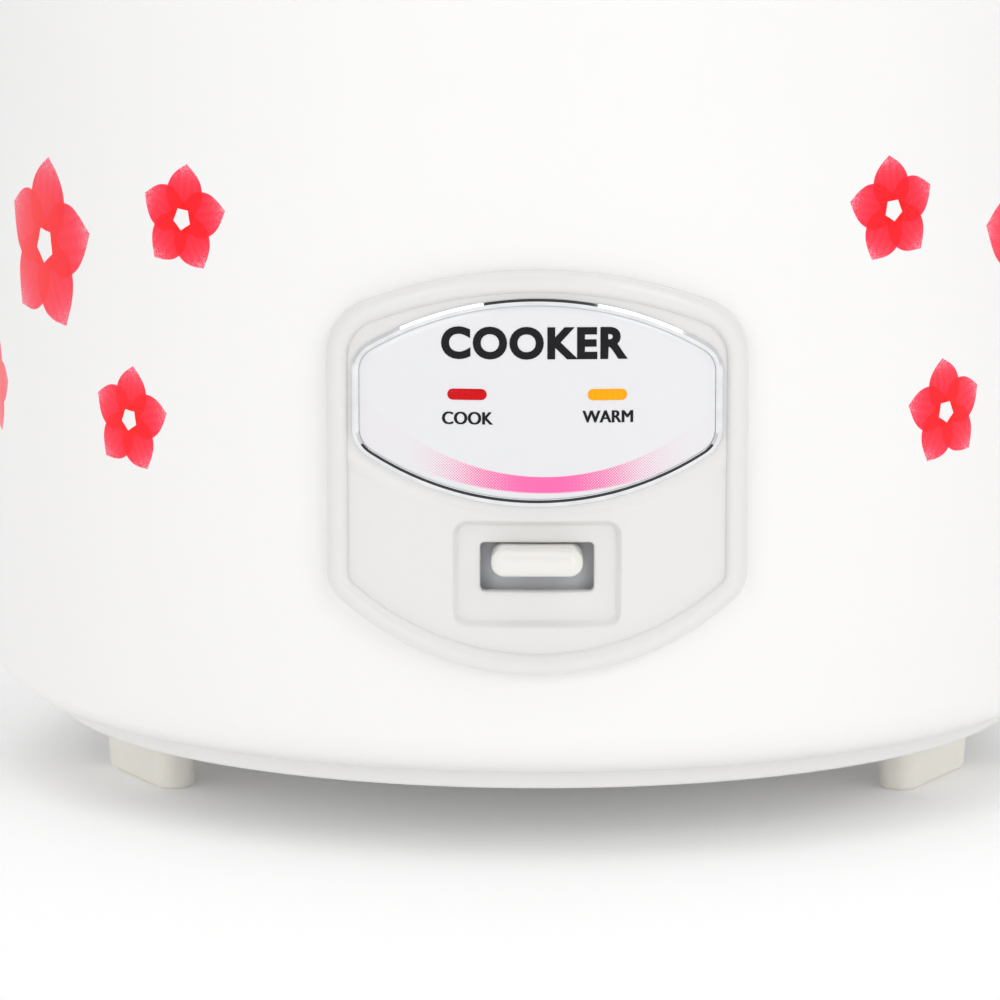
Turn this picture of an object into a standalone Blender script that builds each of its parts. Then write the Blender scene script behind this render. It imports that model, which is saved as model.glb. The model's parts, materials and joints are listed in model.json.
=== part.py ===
"""Jar-type rice cooker, 1.8 litre class, built as an assembly of separate solids.

The front, with the control panel, faces -Y, +Z is up and the feet stand on Z = 0.
Every size below is in millimetres; the helpers turn them into Blender's metres.
Sizes are measured from the drum's own datum: a point on its axis, AXIS_Y away from
the origin, so that the origin is under the middle of the whole outline, and DATUM_Z
above the floor.
"""

import math

import bmesh
import bpy
from mathutils import Matrix, Vector

MM = 0.001
AXIS_Y = -8.7
DATUM_Z = 2.0

# Drum and base
BODY_R = 131.0
SHELL_WALL = 1.2
CLEARANCE = 12.0
LIP_R = 116.5
LIP_TOP = 16.0
FILLET_TOP = 27.0
SHELL_TOP = 200.0
GAP = 0.3
DISC_TOP = 14.2

# Feet
FOOT_R = 98.4
FOOT_HALF_LONG = 17.5
FOOT_HALF_DEEP = 5.2
FOOT_ANGLES = {"front_left": -67.5, "front_right": 67.5, "rear": 180.0}
FOOT_TURNS = {"front_left": -61.3, "front_right": 61.3, "rear": 180.0}

# Liner, pot and heating plate
LINER_R = 112.5
LINER_WALL = 1.0
LINER_FLOOR = 34.0
LINER_TOP = 194.5
POT_R = 104.0
POT_WALL = 1.6
POT_FLOOR = 55.4
POT_RIM = 201.0
PLATE_R = 84.0
PLATE_BASE = 46.0
PLATE_TOP = 55.0

# Control panel, measured from the body's axis outwards
PANEL_HALF_W = 45.3
PANEL_TOP = 127.7
PANEL_BOTTOM = 40.6
PANEL_TOP_ARC = 100.0
PANEL_TOP_CORNER = 13.0
PANEL_BOTTOM_ARC = 66.0
PANEL_BOTTOM_CORNER = 8.0
PANEL_BACK_R = 131.3
PANEL_FACE_R = 133.6
PANEL_RIM_R = 135.6
PANEL_RIM_W = 4.7
LENS_Z = 99.4
LENS_HALF_W = 39.4
LENS_HALF_H = 22.4
LENS_ARC = 70.0
LENS_CORNER = 5.0
TRIM_W = 1.4
LENS_FACE_R = 134.2
POCKET_R = 132.4
WINDOW_X = 14.9
WINDOW_Z = 101.3
WINDOW_HALF_W = 4.3
WINDOW_HALF_H = 1.3
RECESS_HALF_W = 18.0
RECESS_LOW = 51.1
RECESS_HIGH = 74.0
SLOT_HALF_W = 12.15
SLOT_LOW = 58.5
SLOT_HIGH = 69.1

# Cook switch linkage
KNOB_HALF_W = 9.75
KNOB_H = 6.0
KNOB_TRAVEL = 4.0
SLIDER_Y = -119.5
ROCKER_PIVOT_Y = -50.0
ROCKER_Z = 24.0

# Lid, hinge and handle
RING_TOP = 212.0
LID_BASE = 212.6
LID_R = 131.3
LID_RISE = 45.9
LID_WALL = 2.2
HINGE_Y = 134.0
HINGE_Z = 209.0
HANDLE_Z = 206.0
HANDLE_X = 139.7
HANDLE_REACH = 152.0
HANDLE_TUBE_R = 5.2
VENT_R = 16.0

ROUND = 36
FINE_ROUND = 72

PAINT = ("painted_white", (0.93, 0.93, 0.92), 0.25, 0.0)
PLASTIC = ("white_plastic", (0.90, 0.89, 0.87), 0.4, 0.0)
IVORY = ("ivory_plastic", (0.88, 0.86, 0.80), 0.45, 0.0)
GREY = ("grey_plastic", (0.45, 0.46, 0.49), 0.5, 0.0)
CHROME = ("chrome", (0.8, 0.8, 0.82), 0.08, 1.0)
LENS = ("lens_white", (0.90, 0.91, 0.94), 0.15, 0.0)
RED = ("cook_red", (0.85, 0.02, 0.02), 0.2, 0.0)
AMBER = ("warm_amber", (1.0, 0.50, 0.02), 0.2, 0.0)
CLEAR = ("clear_plastic", (0.85, 0.87, 0.88), 0.1, 0.0)
ALUMINIUM = ("aluminium", (0.75, 0.75, 0.76), 0.35, 1.0)
ANODISED = ("anodised_aluminium", (0.62, 0.62, 0.63), 0.45, 1.0)
STEEL = ("steel", (0.62, 0.62, 0.64), 0.3, 1.0)
ZINC = ("zinc_steel", (0.66, 0.66, 0.62), 0.4, 1.0)
SILICONE = ("silicone", (0.80, 0.80, 0.78), 0.6, 0.0)
FERRITE = ("ferrite", (0.12, 0.12, 0.13), 0.7, 0.0)
PHENOLIC = ("black_plastic", (0.05, 0.05, 0.05), 0.45, 0.0)
BRASS = ("brass", (0.80, 0.62, 0.30), 0.3, 1.0)
GLASS = ("lamp_glass", (0.90, 0.75, 0.60), 0.1, 0.0)
WIRE_BROWN = ("wire_brown", (0.28, 0.13, 0.07), 0.5, 0.0)
WIRE_BLUE = ("wire_blue", (0.08, 0.20, 0.60), 0.5, 0.0)
WIRE_GREEN = ("wire_green", (0.15, 0.50, 0.12), 0.5, 0.0)
WIRE_WHITE = ("wire_white", (0.85, 0.85, 0.83), 0.5, 0.0)


# ---------------------------------------------------------------- helpers


def clear_scene():
    """Removes what the scene holds, so that only the cooker is left."""
    for obj in list(bpy.data.objects):
        bpy.data.objects.remove(obj)


def collection(name, hidden=False):
    """A new collection in the scene; a hidden one is left out of renders."""
    made = bpy.data.collections.new(name)
    made.hide_render = hidden
    bpy.context.scene.collection.children.link(made)
    return made


def material(spec):
    """The material of this name, made once as a Principled BSDF."""
    name, colour, roughness, metallic = spec
    found = bpy.data.materials.get(name)
    if found:
        return found
    made = bpy.data.materials.new(name)
    made.use_nodes = True
    shader = made.node_tree.nodes["Principled BSDF"]
    shader.inputs["Base Color"].default_value = (*colour, 1.0)
    shader.inputs["Roughness"].default_value = roughness
    shader.inputs["Metallic"].default_value = metallic
    return made


def place(name, mesh, spec=None):
    """Links a mesh as a part, or as a cutter when it has no material."""
    obj = bpy.data.objects.new(name, mesh)
    obj.location = (0, AXIS_Y * MM, DATUM_Z * MM)
    if spec is None:
        cutters.objects.link(obj)
        obj.hide_render = True
        obj.display_type = "WIRE"
    else:
        cooker.objects.link(obj)
        mesh.materials.append(material(spec))
    return obj


def from_bmesh(name, shape, spec=None):
    """Turns a bmesh in millimetres into an object."""
    bmesh.ops.scale(shape, vec=(MM, MM, MM), verts=shape.verts)
    mesh = bpy.data.meshes.new(name)
    shape.to_mesh(mesh)
    shape.free()
    mesh.shade_smooth()
    mesh.set_sharp_from_angle(angle=math.radians(35))
    return place(name, mesh, spec)


def add_box(shape, low, high):
    """Adds a box between two opposite corners to a bmesh."""
    low, high = Vector(low), Vector(high)
    size = Vector([abs(c) for c in high - low])
    matrix = Matrix.Translation((low + high) / 2) @ Matrix.Diagonal((*size, 1.0))
    bmesh.ops.create_cube(shape, size=1.0, matrix=matrix)


def add_cylinder(shape, radius, start, end, segments=24):
    """Adds a capped cylinder from start to end to a bmesh."""
    start, end = Vector(start), Vector(end)
    along = end - start
    turn = along.to_track_quat("Z", "Y").to_matrix().to_4x4()
    bmesh.ops.create_cone(
        shape,
        cap_ends=True,
        segments=segments,
        radius1=radius,
        radius2=radius,
        depth=along.length,
        matrix=Matrix.Translation((start + end) / 2) @ turn,
    )


def rod(name, radius, half_length, y, z, spec=None):
    """A cylinder along X, centred on the X = 0 plane: a pin, or a cutter for its bore."""
    return cylinder(name, radius, (-half_length, y, z), (half_length, y, z), spec, 16)


def box(name, low, high, spec=None, bevel=0.0):
    """A box part or cutter between two corners, with rounded edges if asked."""
    shape = bmesh.new()
    add_box(shape, low, high)
    obj = from_bmesh(name, shape, spec)
    if bevel:
        round_edges(obj, bevel)
    return obj


def cylinder(name, radius, start, end, spec=None, segments=24):
    """A cylinder part or cutter from start to end."""
    shape = bmesh.new()
    add_cylinder(shape, radius, start, end, segments)
    return from_bmesh(name, shape, spec)


def round_edges(obj, width, segments=1):
    """Rounds the sharp edges of an object."""
    bevel = obj.modifiers.new("rounding", "BEVEL")
    bevel.width = width * MM
    bevel.segments = segments
    bevel.limit_method = "ANGLE"
    bevel.angle_limit = math.radians(40)


def lathe(name, profile, spec=None, segments=ROUND, closed=True):
    """A turned part about the body's axis: the profile runs down its outer side."""
    mesh = bpy.data.meshes.new(name)
    points = [(r * MM, 0, z * MM) for r, z in profile]
    edges = [(i, i + 1) for i in range(len(points) - 1)]
    if closed:
        edges.append((len(points) - 1, 0))
    mesh.from_pydata(points, edges, [])
    obj = place(name, mesh, spec)
    screw = obj.modifiers.new("turned", "SCREW")
    screw.steps = segments
    screw.render_steps = segments
    screw.use_merge_vertices = True
    screw.merge_threshold = 0.00001
    screw.use_smooth_shade = True
    return obj


def cut(obj, *cutters_used, operation="DIFFERENCE"):
    """Adds one exact Boolean for each of the cutters."""
    for cutter in cutters_used:
        boolean = obj.modifiers.new(cutter.name, "BOOLEAN")
        boolean.operation = operation
        boolean.object = cutter
        boolean.solver = "EXACT"
    return obj


def as_mesh(obj):
    """Replaces a curve by its welded mesh, so that it can be cut or joined."""
    graph = bpy.context.evaluated_depsgraph_get()
    mesh = bpy.data.meshes.new_from_object(obj.evaluated_get(graph))
    shape = bmesh.new()
    shape.from_mesh(mesh)
    bmesh.ops.remove_doubles(shape, verts=shape.verts, dist=0.000001)
    bmesh.ops.recalc_face_normals(shape, faces=shape.faces)
    shape.to_mesh(mesh)
    shape.free()
    name, matrix, home = obj.name, obj.matrix_world.copy(), obj.users_collection[0]
    is_cutter = obj.hide_render
    bpy.data.objects.remove(obj)
    solid = bpy.data.objects.new(name, mesh)
    solid.matrix_world = matrix
    solid.hide_render = is_cutter
    solid.display_type = "WIRE" if is_cutter else "TEXTURED"
    home.objects.link(solid)
    return solid


def curve_object(name, points, spec, cyclic=False, flat=False):
    """A poly curve through points in millimetres, linked as a part or a cutter."""
    curve = bpy.data.curves.new(name, "CURVE")
    curve.dimensions = "2D" if flat else "3D"
    spline = curve.splines.new("POLY")
    spline.points.add(len(points) - 1)
    for point, where in zip(spline.points, points):
        point.co = (*[c * MM for c in where], 1.0)
    spline.use_cyclic_u = cyclic
    obj = bpy.data.objects.new(name, curve)
    obj.location = (0, AXIS_Y * MM, DATUM_Z * MM)
    if spec is None:
        cutters.objects.link(obj)
        obj.hide_render = True
        obj.display_type = "WIRE"
    else:
        cooker.objects.link(obj)
        curve.materials.append(material(spec))
    return obj


def prism(name, outline, near, far, spec=None):
    """A solid of an (x, z) outline, from y = near to y = far."""
    obj = curve_object(name, [(x, z, 0) for x, z in outline], spec, cyclic=True, flat=True)
    obj.data.fill_mode = "BOTH"
    obj.data.extrude = abs(far - near) / 2 * MM
    obj.rotation_euler = (math.radians(90), 0, 0)
    obj.location.y += (near + far) / 2 * MM
    bpy.context.view_layer.update()
    return as_mesh(obj)


def tube(name, points, radius, spec, resolution=2):
    """A round wire or rod along points."""
    obj = curve_object(name, points, spec)
    obj.data.bevel_depth = radius * MM
    obj.data.bevel_resolution = resolution
    obj.data.use_fill_caps = True
    bpy.context.view_layer.update()
    return obj


def smooth_route(points, steps=2):
    """Points of a smooth curve through the route's own points."""
    ends = [points[0], *points, points[-1]]
    route = []
    for before, start, end, after in zip(ends, ends[1:], ends[2:], ends[3:]):
        p0, p1, p2, p3 = (Vector(p) for p in (before, start, end, after))
        for i in range(steps):
            t = i / steps
            bend = (2 * p0 - 5 * p1 + 4 * p2 - p3) * t**2
            twist = (3 * p1 - p0 - 3 * p2 + p3) * t**3
            route.append((2 * p1 + (p2 - p0) * t + bend + twist) / 2)
    return [*route, Vector(points[-1])]


def coil(radius, start, end, turns, per_turn=8):
    """Points of a coil along Z about the body's axis."""
    count = int(turns * per_turn)
    for i in range(count + 1):
        angle = 2 * math.pi * i / per_turn
        height = start + (end - start) * i / count
        yield (radius * math.cos(angle), radius * math.sin(angle), height)


def arc(centre, radius, start, end, steps):
    """Points of an arc, its angles in radians, both ends included."""
    for i in range(steps + 1):
        angle = start + (end - start) * i / steps
        yield (
            centre[0] + radius * math.cos(angle),
            centre[1] + radius * math.sin(angle),
        )


def barrel(half_w, top, top_arc, top_corner, bottom, bottom_arc, bottom_corner):
    """Outline with upright sides, bowed top and bottom, and rounded corners."""

    def quarter(height, bow, corner, sign):
        """The bow and the corner on the +X side, from the middle to the side."""
        across = half_w - corner
        up = math.sqrt((bow - corner) ** 2 - across**2)
        lean = math.atan2(across, up)
        middle = (0, height - sign * bow)
        corner_at = (across, height - sign * (bow - up))
        long_arc = arc(middle, bow, math.pi / 2, math.pi / 2 - lean, 8)
        small_arc = arc(corner_at, corner, math.pi / 2 - lean, 0, 5)
        for centre, points in ((middle, long_arc), (corner_at, small_arc)):
            for x, z in points:
                yield (x, centre[1] + sign * (z - centre[1]))

    upper = list(quarter(top, top_arc, top_corner, 1))
    lower = list(quarter(bottom, bottom_arc, bottom_corner, -1))
    right = upper + lower[::-1]
    left = [(-x, z) for x, z in right[::-1]]
    outline = []
    for x, z in right + left:
        if not outline or math.dist((x, z), outline[-1]) > 0.05:
            outline.append((x, z))
    if math.dist(outline[0], outline[-1]) < 0.05:
        outline.pop()
    return outline


def panel_outline(inset):
    """The control panel's outline, drawn in by inset."""
    return barrel(
        PANEL_HALF_W - inset,
        PANEL_TOP - inset,
        PANEL_TOP_ARC - inset,
        PANEL_TOP_CORNER - inset,
        PANEL_BOTTOM + inset,
        PANEL_BOTTOM_ARC - inset,
        PANEL_BOTTOM_CORNER - inset,
    )


def lens_outline(inset):
    """The label lens's outline, drawn in by inset."""
    arc_r, corner = LENS_ARC - inset, LENS_CORNER - inset
    top, bottom = LENS_Z + LENS_HALF_H - inset, LENS_Z - LENS_HALF_H + inset
    return barrel(LENS_HALF_W - inset, top, arc_r, corner, bottom, arc_r, corner)


def rounded_rectangle(half_w, low, high, corner, middle=0.0):
    """A rectangle's (x, z) outline with rounded corners."""
    outline = []
    for quarter, (sx, z) in enumerate(((1, high), (-1, high), (-1, low), (1, low))):
        sz = 1 if z == high else -1
        centre = (middle + sx * (half_w - corner), z - sz * corner)
        start = quarter * math.pi / 2
        outline += list(arc(centre, corner, start, start + math.pi / 2, 3))
    return outline


def ring_about_axis(name, inner, outer, low, high, segments=FINE_ROUND):
    """A plain ring cutter about the body's axis."""
    profile = [(outer, high), (outer, low), (inner, low), (inner, high)]
    return lathe(name, profile, None, segments)


def on_body(angle, radius):
    """The (x, y) point at an angle from the front, positive to the right."""
    turn = math.radians(angle)
    return radius * math.sin(turn), -radius * math.cos(turn)


def ellipse_quarter(centre, half_r, half_z, steps=5):
    """The lower outer quarter of an ellipse, from its side to its bottom."""
    for i in range(steps + 1):
        t = math.pi / 2 * i / steps
        yield (centre[0] + half_r * math.cos(t), centre[1] - half_z * math.sin(t))


# ---------------------------------------------------------------- body and base


def make_outer_shell():
    """The painted drum, its rounded foot turned in, cut for the panel and the inlet."""
    flange = LIP_TOP + GAP
    across, drop = BODY_R - LIP_R, FILLET_TOP - flange
    inner_r = BODY_R - SHELL_WALL
    outside = list(ellipse_quarter((LIP_R, FILLET_TOP), across, drop))
    inside = list(
        ellipse_quarter((LIP_R, FILLET_TOP), across - SHELL_WALL, drop - SHELL_WALL)
    )
    profile = [(BODY_R, SHELL_TOP), *outside, (LIP_R - 5, flange)]
    profile += [(LIP_R - 5, flange + SHELL_WALL), *inside[::-1], (inner_r, SHELL_TOP)]
    shell = lathe("outer_shell", profile, PAINT)
    window = prism(
        "cut_panel_window", rounded_rectangle(36, 53, 120, 4), -140, -110
    )
    inlet = box("cut_inlet_window", (-17.4, 110, 28.6), (17.4, 140, 55.4))
    return cut(shell, window, inlet)


def make_base_plate():
    """The bottom cover: a vented disc with a lip under the drum's edge."""
    profile = [
        (0, DISC_TOP),
        (106, DISC_TOP),
        (106, 18.6),
        (108.5, 18.6),
        (108.5, LIP_TOP),
        (LIP_R - 0.2, LIP_TOP),
        (LIP_R - 0.2, CLEARANCE + 1),
        (LIP_R - 1.2, CLEARANCE),
        (0, CLEARANCE),
    ]
    base = lathe("base_plate", profile, PLASTIC, closed=False)
    vents = bmesh.new()
    for i in range(10):
        angle = math.radians(36 * i + 18)
        slot = bmesh.new()
        add_box(slot, (34, -1.6, 10), (62, 1.6, 16))
        bmesh.ops.rotate(slot, matrix=Matrix.Rotation(angle, 3, "Z"), verts=slot.verts)
        mesh = bpy.data.meshes.new("vent")
        slot.to_mesh(mesh)
        slot.free()
        vents.from_mesh(mesh)
        bpy.data.meshes.remove(mesh)
    holes = bmesh.new()
    for angle in FOOT_ANGLES.values():
        x, y = on_body(angle, FOOT_R)
        add_cylinder(holes, 2.2, (x, y, 10), (x, y, 16), 12)
    return cut(
        base, from_bmesh("cut_vents", vents), from_bmesh("cut_foot_holes", holes)
    )


def make_feet():
    """Three moulded feet, each held by a screw from below."""
    for side, angle in FOOT_ANGLES.items():
        x, y = on_body(angle, FOOT_R)
        outline = rounded_rectangle(FOOT_HALF_LONG, -FOOT_HALF_DEEP, FOOT_HALF_DEEP, 4.5)
        foot = curve_object(
            f"foot_{side}", [(px, pz, 0) for px, pz in outline], IVORY, True, True
        )
        foot.data.fill_mode = "BOTH"
        half_height = (DATUM_Z + CLEARANCE - GAP) / 2
        foot.data.extrude = half_height * MM
        foot.location = (x * MM, (y + AXIS_Y) * MM, half_height * MM)
        foot.rotation_euler = (0, 0, math.radians(FOOT_TURNS[side]))
        bpy.context.view_layer.update()
        foot = as_mesh(foot)
        counterbore = cylinder(f"cut_foot_head_{side}", 3.5, (x, y, -4), (x, y, 4.6))
        through = cylinder(
            f"cut_foot_shank_{side}", 2.2, (x, y, 2), (x, y, 14), segments=12
        )
        cut(foot, counterbore, through)
        screw = lathe(
            f"foot_screw_{side}",
            [(0, 19), (1.8, 18.4), (1.8, 4.3), (3.0, 4.3), (3.0, 2.6), (2.1, 1.6), (0, 1.6)],
            ZINC,
            segments=16,
            closed=False,
        )
        screw.location = (x * MM, (y + AXIS_Y) * MM, DATUM_Z * MM)


# ---------------------------------------------------------------- cooking chamber


def make_inner_case():
    """The pressed liner that holds the pot and the heating plate."""
    inner = LINER_R - LINER_WALL
    floor_top = LINER_FLOOR + LINER_WALL
    profile = [
        (122, LINER_TOP + 1),
        (122, LINER_TOP),
        (LINER_R, LINER_TOP),
        (LINER_R, LINER_FLOOR + 8),
        (LINER_R - 2.2, LINER_FLOOR + 2.6),
        (LINER_R - 6.5, LINER_FLOOR),
        (20, LINER_FLOOR),
        (20, floor_top),
        (LINER_R - 6.9, floor_top),
        (inner - 2.1, floor_top + 2.4),
        (inner, floor_top + 7.4),
        (inner, LINER_TOP + 1),
    ]
    case = lathe("inner_case", profile, STEEL)
    holes = bmesh.new()
    for side in (-1, 1):
        at = (HEATER_X, side * HEATER_Y)
        add_cylinder(holes, 5.2, (*at, 30), (*at, 38), 16)
    return cut(case, from_bmesh("cut_terminal_holes", holes))


HEATER_R = 58.0
HEATER_SPLIT = math.radians(15)
HEATER_X = HEATER_R * math.cos(HEATER_SPLIT)
HEATER_Y = HEATER_R * math.sin(HEATER_SPLIT)


def make_heating_plate():
    """The cast plate, with its legs, and the tubular element under it."""
    profile = [
        (PLATE_R - 2, PLATE_TOP),
        (PLATE_R, PLATE_TOP - 1.5),
        (PLATE_R, PLATE_BASE + 2),
        (PLATE_R - 3, PLATE_BASE),
        (21, PLATE_BASE),
        (18.5, PLATE_BASE + 2),
        (18.5, PLATE_TOP),
    ]
    plate = lathe("heating_plate", profile, ALUMINIUM)
    legs = bmesh.new()
    for angle in (90, 210, 330):
        x, y = on_body(angle + 90, 74)
        add_cylinder(legs, 4, (x, y, LINER_FLOOR + LINER_WALL + GAP), (x, y, 50), 12)
    cut(plate, from_bmesh("join_plate_legs", legs), operation="UNION")

    height = PLATE_BASE - 3.8
    turn = 2 * math.pi - 2 * HEATER_SPLIT
    angles = [HEATER_SPLIT + turn * i / 28 for i in range(1, 28)]
    ring = [(HEATER_R * math.cos(a), HEATER_R * math.sin(a), height) for a in angles]
    rise = [(HEATER_X, HEATER_Y - 0.6, height - drop) for drop in (18, 6)]
    rise.append((HEATER_X, HEATER_Y - 0.2, height - 1.6))
    fall = [(x, -y, z) for x, y, z in rise[::-1]]
    tube("heater_element", rise + ring + fall, 3.0, STEEL, 2)


def make_pot():
    """The removable cooking pot, with a rolled rim."""
    inner = POT_R - POT_WALL
    corner = (POT_R - 5.5, POT_FLOOR + 5.5)
    outer_arc = list(arc(corner, 5.5, 0, -math.pi / 2, 1))
    inner_arc = list(arc(corner, 5.5 - POT_WALL, -math.pi / 2, 0, 1))
    profile = [
        (0, POT_FLOOR + POT_WALL),
        *inner_arc,
        (inner, POT_RIM - 3),
        (inner + 0.6, POT_RIM - 0.8),
        (inner + 2.2, POT_RIM),
        (POT_R + 4.2, POT_RIM),
        (POT_R + 5, POT_RIM - 0.8),
        (POT_R + 4.2, POT_RIM - 1.6),
        (POT_R + 0.8, POT_RIM - 1.9),
        (POT_R, POT_RIM - 3),
        *outer_arc,
        (0, POT_FLOOR),
    ]
    lathe("inner_pot", profile, ANODISED, closed=False)


def make_sensor():
    """The spring-loaded magnetic thermostat in the middle of the plate."""
    cap = [(0, 55.1), (14.2, 55.1), (15, 54.3), (15, 44), (13.4, 44), (13.4, 53.5), (0, 53.5)]
    lathe("sensor_cap", cap, ALUMINIUM, 32, closed=False)
    lathe("sensor_ferrite", [(0, 53.2), (9, 53.2), (9, 49), (0, 49)], FERRITE, 24, False)
    guide = [
        (11.5, 47.4),
        (11.5, LINER_FLOOR - GAP),
        (26, LINER_FLOOR - GAP),
        (26, LINER_FLOOR - 2.3),
        (11.5, LINER_FLOOR - 2.3),
        (11.5, 28.6),
        (10, 28.6),
        (10, 47.4),
    ]
    lathe("sensor_guide", guide, STEEL, 32)
    magnet = [(0, 44.9), (9, 44.9), (9, 41), (2, 41), (2, 25.5), (0, 25.5)]
    lathe("magnet_rod", magnet, FERRITE, 24, closed=False)
    tube("sensor_spring", list(coil(14.2, 34.7, 43.1, 4)), 0.6, STEEL, 1)


# ---------------------------------------------------------------- cook switch linkage


def make_rocker():
    """The rocker that the slider presses down in front, and that lifts the magnet."""
    rocker = box("rocker_arm", (-6, -121.4, 23), (6, 6, 25), ZINC)
    boss = rod("join_rocker_boss", 4, 6, ROCKER_PIVOT_Y, ROCKER_Z)
    tab = box("join_rocker_tab", (0, -94, 23), (14, -88, 25))
    bore = rod("cut_rocker_bore", 1.9, 20, ROCKER_PIVOT_Y, ROCKER_Z)
    cut(rocker, boss, tab, operation="UNION")
    cut(rocker, bore)

    bracket = box("rocker_bracket", (-10.6, -59, 31.7), (10.6, -41, 33.7), ZINC)
    ears = bmesh.new()
    for side in (-1, 1):
        add_box(ears, (side * 9.0, -55, 19), (side * 10.6, -45, 32.5))
    cut(bracket, from_bmesh("join_bracket_ears", ears), operation="UNION")
    cut(bracket, rod("cut_bracket_bore", 1.8, 20, ROCKER_PIVOT_Y, ROCKER_Z))
    rod("rocker_pin", 1.5, 11.8, ROCKER_PIVOT_Y, ROCKER_Z, STEEL)


def make_slider():
    """The upright slider with the grey shutter and the knob that the finger presses."""
    box("cook_slider", (-6, SLIDER_Y - 1, 25.4), (6, SLIDER_Y + 1, 76), ZINC, 0.4)
    box("slot_shutter", (-15.5, -126.4, 56), (15.5, -120.8, 76.2), GREY, 0.5)
    high = SLOT_HIGH - GAP
    knob = prism(
        "cook_knob", rounded_rectangle(KNOB_HALF_W, high - KNOB_H, high, 2.4), -140.2, -126.7, IVORY
    )
    round_edges(knob, 1.0)


def make_changeover_switch():
    """The changeover switch under the rocker's tab, with its plunger."""
    body = box("changeover_switch", (6.5, -100, 14.5), (16.5, -80, 20), PHENOLIC)
    cut(body, cylinder("cut_plunger_hole", 1.9, (11, -91, 15.5), (11, -91, 24), None, 16))
    cylinder("switch_plunger", 1.5, (11, -91, 18.2), (11, -91, 22.7), WIRE_WHITE, 16)


# ---------------------------------------------------------------- electrical pieces


def make_electrics():
    """Thermostat, fuse, side heater, terminals and the wires between them."""
    cylinder("keep_warm_thermostat", 8, (-45, 30, 27.6), (-45, 30, 33.7), PHENOLIC)
    cylinder("thermal_fuse", 2.3, (-58, -32, 31.2), (-58, -8, 31.2), WIRE_WHITE, 16)
    band = [(LINER_R + 2, 132), (LINER_R + 2, 108), (LINER_R + 0.4, 108), (LINER_R + 0.4, 132)]
    lathe("side_heater_band", band, ALUMINIUM)
    box("terminal_block", (-18, 72, 14.6), (18, 84, 25), WIRE_WHITE, 1.0)

    housing = box("power_inlet", (-17, 117, 29), (17, 137, 55), PHENOLIC, 1.5)
    cut(housing, prism("cut_inlet_socket", rounded_rectangle(12.3, 33.7, 50.3, 2.5), 121, 145))
    pins = {"live": (-7, 40), "neutral": (7, 40), "earth": (0, 44)}
    for pole, (x, z) in pins.items():
        box(f"inlet_pin_{pole}", (x - 1, 121.3, z - 2), (x + 1, 133.5, z + 2), BRASS, 0.4)

    inlet_path = ((116.4, 36), (114.6, 36), (111.5, 31), (102, 26), (88, 20.2), (84.6, 20))
    routes = {
        "mains_wire_live": [(-9 - i * 0.6, y, z) for i, (y, z) in enumerate(inlet_path)],
        "mains_wire_neutral": [(9 + i * 0.6, y, z) for i, (y, z) in enumerate(inlet_path)],
        "mains_wire_earth": [(0, y, z) for y, z in inlet_path],
        "heater_lead": [
            (12, 71.6, 20),
            (16, 62, 20),
            (34, 44, 19),
            (52, 26, 18),
            (HEATER_X, HEATER_Y - 0.6, 18.5),
            (HEATER_X, HEATER_Y - 0.6, 23.8),
        ],
        "lamp_lead": [
            (-12, 71.6, 20),
            (-20, 56, 19),
            (-40, 20, 18),
            (-44, -30, 18),
            (-34, -84, 20),
            (-28, -108, 24),
            (-27, -118.5, 34),
            (-26, -120.5, 60),
            (-22.5, -122.5, 88),
            (-21.6, -124.2, WINDOW_Z),
        ],
    }
    colours = (WIRE_BROWN, WIRE_BLUE, WIRE_GREEN, WIRE_WHITE, WIRE_WHITE)
    for (name, route), colour in zip(routes.items(), colours):
        tube(name, smooth_route(route), 1.2, colour, 1)


# ---------------------------------------------------------------- control panel


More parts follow.
